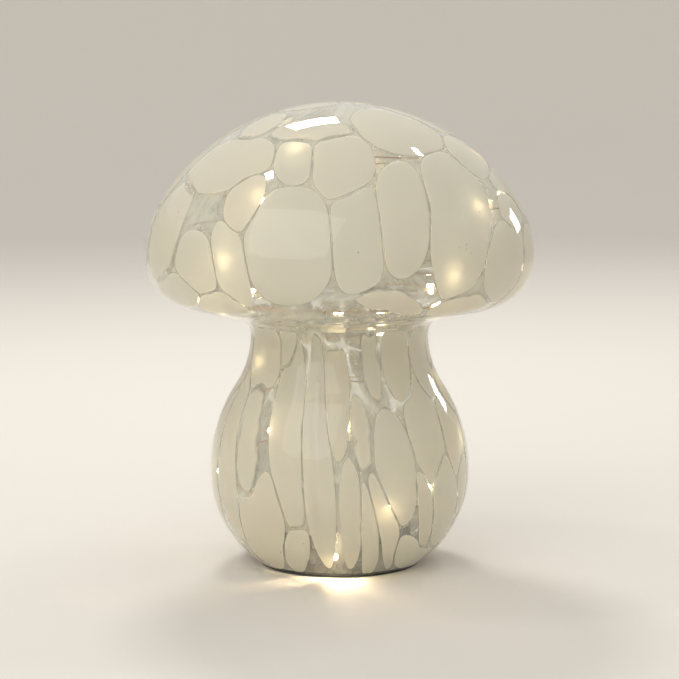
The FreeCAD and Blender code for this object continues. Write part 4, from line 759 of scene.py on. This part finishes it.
def patch_mesh(name, patches, manner, flat_map, look, draw):
    """Lens-shaped patches inside the wall of the glass, each closed all round."""
    points, faces, edges, tones, softs, flows = [], [], [], [], [], []
    for index in range(len(patches)):
        growth, softness = manner[index]
        outline = outline_of(index, patches, growth, flat_map, look, draw)
        tone = draw.random()
        if outline is None:
            continue
        centre, reach = outline
        wide = np.hypot(reach[:, 0], reach[:, 1])
        shares = [0.0, *PATCH_RINGS, 1.0]
        first = len(points)
        starts = {}
        for side in (1, -1):
            for share in shares:
                if share == 1.0 and side == -1:
                    starts[side, share] = starts[1, 1.0]
                    continue
                starts[side, share] = len(points)
                flat = centre + (reach * share if share else np.zeros((1, 2)))
                around, down = flat_map.round(flat)
                bulge = look.thickness / 2 * math.sqrt(max(1 - share ** 4, 0))
                spots = on_glass(flat_map.line, around, down, look.depth - side * bulge)
                points.extend(map(tuple, spots))
                flows.append(flow_at(flat_map, around, down))
                edges.extend((wide * (1 - share)) if share else [wide.min()])
        tones.extend([tone] * (len(points) - first))
        fade = look.crisp + (look.feathered - look.crisp) * softness
        softs.extend([fade] * (len(points) - first))
        for side in (1, -1):
            sheet = fan_faces(starts[side, 0.0], starts[side, shares[1]], PATCH_CORNERS)
            for inner, outer in zip(shares[1:], shares[2:]):
                sheet += band_faces(starts[side, inner], starts[side, outer], PATCH_CORNERS)
            faces += sheet if side == -1 else [face[::-1] for face in sheet]
    mesh = bpy.data.meshes.new(name)
    mesh.from_pydata(points, [], faces)
    for label, values in (("edge", edges), ("tone", tones), ("soft", softs)):
        mesh.attributes.new(label, "FLOAT", "POINT").data.foreach_set("value", np.array(values, np.float32))
    add_flow(mesh, np.concatenate(flows))
    return finished_piece(name, mesh)


def flow_at(flat_map, around, down):
    """Coordinates in which the threads of the glass run down it: down counts less than around."""
    fall = down if isinstance(flat_map, CapMap) else down + flat_map.low
    return np.stack([np.cos(around), np.sin(around), fall * FLOW_STRETCH], axis=-1)


def add_flow(mesh, flows):
    held = mesh.attributes.new("flow", "FLOAT_VECTOR", "POINT").data
    held.foreach_set("vector", flows.astype(np.float32).ravel())


def placed(name, data):
    """A new object in the scene."""
    made = bpy.data.objects.new(name, data)
    bpy.context.scene.collection.objects.link(made)
    return made


def mesh_of(name, work):
    mesh = bpy.data.meshes.new(name)
    work.to_mesh(mesh)
    work.free()
    return mesh


def fan_faces(middle, ring, count):
    """Faces from one point to a ring of points, all by their numbers."""
    return [(middle, ring + k, ring + (k + 1) % count) for k in range(count)]


def band_faces(first, second, count):
    """Faces between two rings of points, by the number of each ring's first point."""
    return [(first + k, second + k, second + (k + 1) % count, first + (k + 1) % count) for k in range(count)]


def finished_piece(name, mesh):
    """An object of a closed mesh, with its faces looking outwards."""
    work = bmesh.new()
    work.from_mesh(mesh)
    bmesh.ops.recalc_face_normals(work, faces=work.faces)
    work.to_mesh(mesh)
    work.free()
    mesh.shade_smooth()
    return placed(name, mesh)


def veil_mesh(name, line, look):
    """A thin closed shell inside the wall of the glass, from the crown to the foot."""
    rings, around = VEIL_RINGS, VEIL_SIDES
    downs = np.linspace(0.0, line["distance"][-1] - FOOT_MARGIN, rings + 1)[1:]
    turns = np.linspace(0, 2 * math.pi, around, endpoint=False)
    downs, turns = (grid.ravel() for grid in np.meshgrid(downs, turns, indexing="ij"))
    points, flows, faces = [], [], []
    cap = CapMap(line)
    for side, depth in enumerate((look.veil_depth, look.veil_depth + look.veil_thickness)):
        pole = side * (1 + rings * around)
        points += [on_glass(line, np.zeros(1), np.zeros(1), depth), on_glass(line, turns, downs, depth)]
        flows += [flow_at(cap, np.zeros(1), np.zeros(1)), flow_at(cap, turns, downs)]
        faces += fan_faces(pole, pole + 1, around)
        for ring in range(rings - 1):
            start = pole + 1 + ring * around
            faces += band_faces(start, start + around, around)
    outer = 1 + (rings - 1) * around
    inner = outer + 1 + rings * around
    faces += band_faces(outer, inner, around)
    mesh = bpy.data.meshes.new(name)
    mesh.from_pydata(np.concatenate(points).tolist(), [], faces)
    add_flow(mesh, np.concatenate(flows))
    return finished_piece(name, mesh)


def lay_in_glass(piece, material):
    piece.data.materials.append(material)
    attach(piece, "lamp")


# ------------------------------------------------------------------------------------------------ operators
class LAMP_OT_effects(bpy.types.Operator):
    """Makes the shader groups that the finishes share"""
    bl_idname = "lamp.effects"
    bl_label = "Shared effects"

    def execute(self, context):
        for make in (make_mottle, make_moulded_grain, make_brushing, make_melt, make_milk, make_blown_waves):
            make()
        return {"FINISHED"}


class LAMP_OT_glass(bpy.types.Operator):
    """Finishes the blown glass"""
    bl_idname = "lamp.glass"
    bl_label = "Blown glass"

    def execute(self, context):
        dress("glass_body", make_blown_glass())
        return {"FINISHED"}


class LAMP_OT_patches(bpy.types.Operator):
    """Lays the opal patches inside the wall of the glass"""
    bl_idname = "lamp.patches"
    bl_label = "Opal patches"

    def execute(self, context):
        scene = context.scene
        look, line = scene.lamp_patches, glass_line(scene.lamp_glass)
        tree = glass_tree()
        opal = make_opal(look)
        draw = random.Random(look.seed)
        layouts = (("opal_patches_cap", CapMap(line), CAP_EGGS, CAP_RINGS, CAP_SECTOR),
                   ("opal_patches_stem", StemMap(line), STEM_STREAKS, STEM_RINGS, STEM_SECTOR))
        for name, flat_map, seen, rings, first_angle in layouts:
            patches = [seen_patch(tree, line, flat_map, spot) for spot in seen.values()]
            manner = [(look.seen_growth, FEATHER if label in FEATHERED else 0.0) for label in seen]
            hidden = hidden_patches(flat_map, rings, first_angle, draw)
            manner += [(look.hidden_growth, draw.random() ** 3) for _ in hidden]
            lay_in_glass(patch_mesh(name, patches + hidden, manner, flat_map, look, draw), opal)
        return {"FINISHED"}


class LAMP_OT_veil(bpy.types.Operator):
    """Lays the milky veil inside the wall of the glass"""
    bl_idname = "lamp.veil"
    bl_label = "Milky veil"

    def execute(self, context):
        look = context.scene.lamp_patches
        veil = veil_mesh("milky_veil", glass_line(context.scene.lamp_glass), look)
        lay_in_glass(veil, make_milky_veil(look))
        return {"FINISHED"}


class LAMP_OT_seeds(bpy.types.Operator):
    """Sows the tiny bubbles that blown glass holds"""
    bl_idname = "lamp.seeds"
    bl_label = "Seeds in the glass"

    def execute(self, context):
        scene = context.scene
        look, line = scene.lamp_patches, glass_line(scene.lamp_glass)
        draw = random.Random(look.seed + 1)
        around, down = seen_place(glass_tree(), line, *SEED_CLUSTER)
        spots = [(around + CLUSTER_TURN * k * math.cos(CLUSTER_SPIN * k),
                  down + CLUSTER_FALL * k * math.sin(CLUSTER_SPIN * k)) for k in range(5)]
        spots += [(2 * math.pi * draw.random(), draw.uniform(0.02, line["distance"][-1] - 0.01))
                  for _ in range(look.seeds)]
        work = bmesh.new()
        for turn, fall in spots:
            size = draw.uniform(0.6, 1.0) * look.seed_radius
            middle = Vector(on_glass(line, turn, fall, look.depth - look.thickness / 2 - size))
            stretched = Matrix.LocRotScale(middle, None, (size, size, size * draw.uniform(1.0, 1.6)))
            bmesh.ops.create_icosphere(work, subdivisions=2, radius=1.0, matrix=stretched)
        lay_in_glass(finished_piece("glass_seeds", mesh_of("glass_seeds", work)), make_bubble())
        return {"FINISHED"}


class LAMP_OT_switch_marks(bpy.types.Operator):
    """Prints a bar, a ring and a dot beside the switch, for on, off and timer"""
    bl_idname = "lamp.switch_marks"
    bl_label = "Switch marks"

    def execute(self, context):
        look = context.scene.lamp_marks
        low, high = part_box("switch_knob")
        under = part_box("base_housing")[0].z
        aside, first = high.x + look.gap, (low.y + high.y) / 2
        bar = [(-look.line / 2, -look.size / 2), (look.line / 2, -look.size / 2),
               (look.line / 2, look.size / 2), (-look.line / 2, look.size / 2)]
        ring = round_points(look.size / 2)
        work = bmesh.new()
        add_mark(work, (aside, first), bar, None, under, look.ink)
        hole = round_points(look.size / 2 - look.line)
        add_mark(work, (aside, first - look.step), ring, hole, under, look.ink)
        add_mark(work, (aside, first - 2 * look.step), round_points(look.size / 3), None, under, look.ink)
        marks = finished_piece("switch_marks", mesh_of("switch_marks", work))
        marks.data.shade_flat()
        marks.data.materials.append(make_solid("printed_white", (0.75, 0.75, 0.73), (0.6, 0.6, 0.58), 0.5))
        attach(marks, "lamp")
        return {"FINISHED"}


def round_points(radius, count=32):
    return [(radius * math.cos(2 * math.pi * k / count), radius * math.sin(2 * math.pi * k / count))
            for k in range(count)]


def add_mark(work, place, outline, hole, top, ink):
    """A printed mark: a thin plate with its outline, and with a hole if one is given."""
    loops = [outline] + ([hole] if hole else [])
    rings = [[[work.verts.new((place[0] + x, place[1] + y, z)) for x, y in loop] for z in (top, top - ink)]
             for loop in loops]
    for upper, lower in rings:
        for k in range(len(upper)):
            after = (k + 1) % len(upper)
            work.faces.new((upper[k], upper[after], lower[after], lower[k]))
    for level in (0, 1):
        if not hole:
            work.faces.new(rings[0][level])
            continue
        outer, inner = rings[0][level], rings[1][level]
        for k in range(len(outer)):
            after = (k + 1) % len(outer)
            work.faces.new((outer[k], outer[after], inner[after], inner[k]))


class LAMP_OT_light_string(bpy.types.Operator):
    """Finishes the wire, its clear drops and their lit chips"""
    bl_idname = "lamp.light_string"
    bl_label = "Light string"

    def execute(self, context):
        look = context.scene.lamp_glow
        dress("light_wire", make_solid("lacquered_wire", (0.55, 0.33, 0.14), (0.42, 0.22, 0.08), 0.3,
                                       metallic=1.0, brushed=900.0))
        dress("light_drops", make_glowing("lit_drop", (0.95, 0.85, 0.65), look.glow, look.drop_strength))
        dress("light_chips", make_glowing("lit_chip", (1.0, 0.9, 0.7), look.glow, look.drop_strength))
        return {"FINISHED"}


class LAMP_OT_base(bpy.types.Operator):
    """Finishes the base, its rubber, its cover and its door"""
    bl_idname = "lamp.base"
    bl_label = "Base"

    def execute(self, context):
        black = make_solid("black_plastic", (0.018, 0.018, 0.019), (0.030, 0.030, 0.031), 0.5, grain=0.00003)
        rubber = make_solid("black_rubber", (0.012, 0.012, 0.012), (0.024, 0.024, 0.023), 0.75, grain=0.00004,
                            grain_scale=1500.0, specular=0.3)
        white = make_solid("white_plastic", (0.78, 0.76, 0.70), (0.70, 0.68, 0.62), 0.42, grain=0.00002)
        steel = make_solid("zinc_steel", (0.56, 0.56, 0.54), (0.40, 0.41, 0.42), 0.32, metallic=1.0,
                           brushed=700.0)
        for name in ("base_housing", "battery_door", "switch_lever", "switch_knob"):
            dress(name, black)
        for name in ("base_gasket", "wire_grommet", *(f"rubber_pad_{i}" for i in range(1, 5))):
            dress(name, rubber)
        dress("inner_cover", white)
        for name in ("door_screw", "cover_screws", "board_screws", "switch_case", "timer_crystal"):
            dress(name, steel)
        return {"FINISHED"}


class LAMP_OT_power(bpy.types.Operator):
    """Finishes the cells, their contacts and the two leads"""
    bl_idname = "lamp.power"
    bl_label = "Cells and leads"

    def execute(self, context):
        outer, middle = make_cell("cell_sleeve_outer", 1.0), make_cell("cell_sleeve_middle", -1.0)
        nickel = make_solid("nickel_plate", (0.66, 0.63, 0.57), (0.52, 0.50, 0.46), 0.25, metallic=1.0,
                            brushed=600.0)
        for side, sleeve in (("right", outer), ("middle", middle), ("left", outer)):
            dress(f"battery_{side}", sleeve)
        for name in ("plus_terminal", "minus_terminal", "contact_bridge_back", "contact_bridge_front",
                     "battery_springs"):
            dress(name, nickel)
        dress("red_lead", make_solid("red_sleeve", (0.45, 0.02, 0.015), (0.36, 0.015, 0.012), 0.35))
        dress("black_lead", make_solid("black_sleeve", (0.02, 0.02, 0.02), (0.03, 0.03, 0.03), 0.35))
        return {"FINISHED"}


class LAMP_OT_board(bpy.types.Operator):
    """Finishes the timer board and what it carries"""
    bl_idname = "lamp.board"
    bl_label = "Timer board"

    def execute(self, context):
        chip = make_solid("chip_resin", (0.02, 0.02, 0.02), (0.035, 0.035, 0.035), 0.55, grain=0.00002)
        dress("timer_board", make_board_finish())
        dress("timer_chip", chip)
        dress("board_resistors", chip)
        return {"FINISHED"}


class LAMP_OT_stage(bpy.types.Operator):
    """Makes the camera, the floor with its backdrop, and the lamps of the studio"""
    bl_idname = "lamp.stage"
    bl_label = "Stage"

    def execute(self, context):
        camera = bpy.data.cameras.new("camera")
        camera.sensor_width = SENSOR_WIDTH
        camera.lens = CAMERA_PIXELS * SENSOR_WIDTH / PHOTO_SIDE
        stand = placed("camera", camera)
        stand.location = CAMERA_PLACE
        stand.rotation_euler = (math.pi / 2 - CAMERA_DOWN, 0, 0)
        context.scene.camera = stand
        make_backdrop(context)
        make_studio_lamps(context)
        context.scene.view_settings.view_transform = "Standard"
        return {"FINISHED"}


def make_backdrop(context):
    """A floor that sweeps up behind the lamp on every side, as a wide shallow bowl."""
    rings, around = 24, 96
    flat_radius, sweep, height = 1.7, 0.6, 0.7
    profile = [(0.0, 0.0), (flat_radius, 0.0)]
    for i in range(1, rings + 1):
        angle = math.pi / 2 * i / rings
        profile.append((flat_radius + sweep * math.sin(angle), sweep * (1 - math.cos(angle))))
    profile.append((flat_radius + sweep, height))
    points, faces = [(0.0, 0.0, 0.0)], []
    for radius, z in profile[1:]:
        points += [(x, y, z) for x, y in round_points(radius, around)]
    faces += fan_faces(0, 1, around)
    for ring in range(len(profile) - 2):
        start = 1 + ring * around
        faces += band_faces(start, start + around, around)
    mesh = bpy.data.meshes.new("floor")
    mesh.from_pydata(points, [], faces)
    mesh.shade_smooth()
    floor = placed("floor", mesh)
    tone = context.scene.lamp_stage.floor
    shade = tuple(c * FLOOR_SHADE for c in tone)
    mesh.materials.append(make_solid("floor_paint", tuple(tone), shade, 0.75, scale=3.0))


def make_studio_lamps(context):
    for name, (place, size, power, tint) in STUDIO_LAMPS.items():
        data = bpy.data.lights.new(name, "AREA")
        data.shape = "RECTANGLE"
        data.size, data.size_y = size
        data.energy = power
        data.color = tint
        lamp = placed(name, data)
        lamp.location = place
        lamp.rotation_euler = (Vector(LAMP_AIM) - Vector(place)).to_track_quat("-Z", "Y").to_euler()
    world = bpy.data.worlds.new("studio")
    world.use_nodes = True
    context.scene.world = world
    world.node_tree.nodes["Background"].inputs[0].default_value = (1.0, 0.975, 0.94, 1)
    world.node_tree.nodes["Background"].inputs[1].default_value = 0.7


class LAMP_PT_panel(bpy.types.Panel):
    """Lists the lamp's sizes and steps"""
    bl_label = "Mushroom Lamp"
    bl_space_type = "VIEW_3D"
    bl_region_type = "UI"
    bl_category = "Mushroom Lamp"

    def draw(self, context):
        for name in GROUPS:
            group = getattr(context.scene, name)
            box = self.layout.box()
            for key in group.bl_rna.properties.keys():
                if key not in ("rna_type", "name"):
                    box.prop(group, key)
        for step in STEPS:
            self.layout.operator(step.bl_idname)


GROUPS = {"lamp_glass": GlassSizes, "lamp_patches": PatchLook, "lamp_marks": MarkLook, "lamp_glow": GlowLook,
          "lamp_stage": StageLook}
STEPS = (LAMP_OT_effects, LAMP_OT_stage, LAMP_OT_glass, LAMP_OT_patches, LAMP_OT_veil, LAMP_OT_seeds,
         LAMP_OT_switch_marks, LAMP_OT_light_string, LAMP_OT_base, LAMP_OT_power, LAMP_OT_board)


def register():
    for kind in (*GROUPS.values(), *STEPS, LAMP_PT_panel):
        bpy.utils.register_class(kind)
    for name, kind in GROUPS.items():
        setattr(bpy.types.Scene, name, PointerProperty(type=kind))


def unregister():
    for name in GROUPS:
        delattr(bpy.types.Scene, name)
    for kind in (LAMP_PT_panel, *reversed(STEPS), *reversed(GROUPS.values())):
        bpy.utils.unregister_class(kind)


def main():
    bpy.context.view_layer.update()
    register()
    for step in STEPS:
        group, name = step.bl_idname.split(".")
        getattr(getattr(bpy.ops, group), name)()


if __name__ == "__main__":
    main()
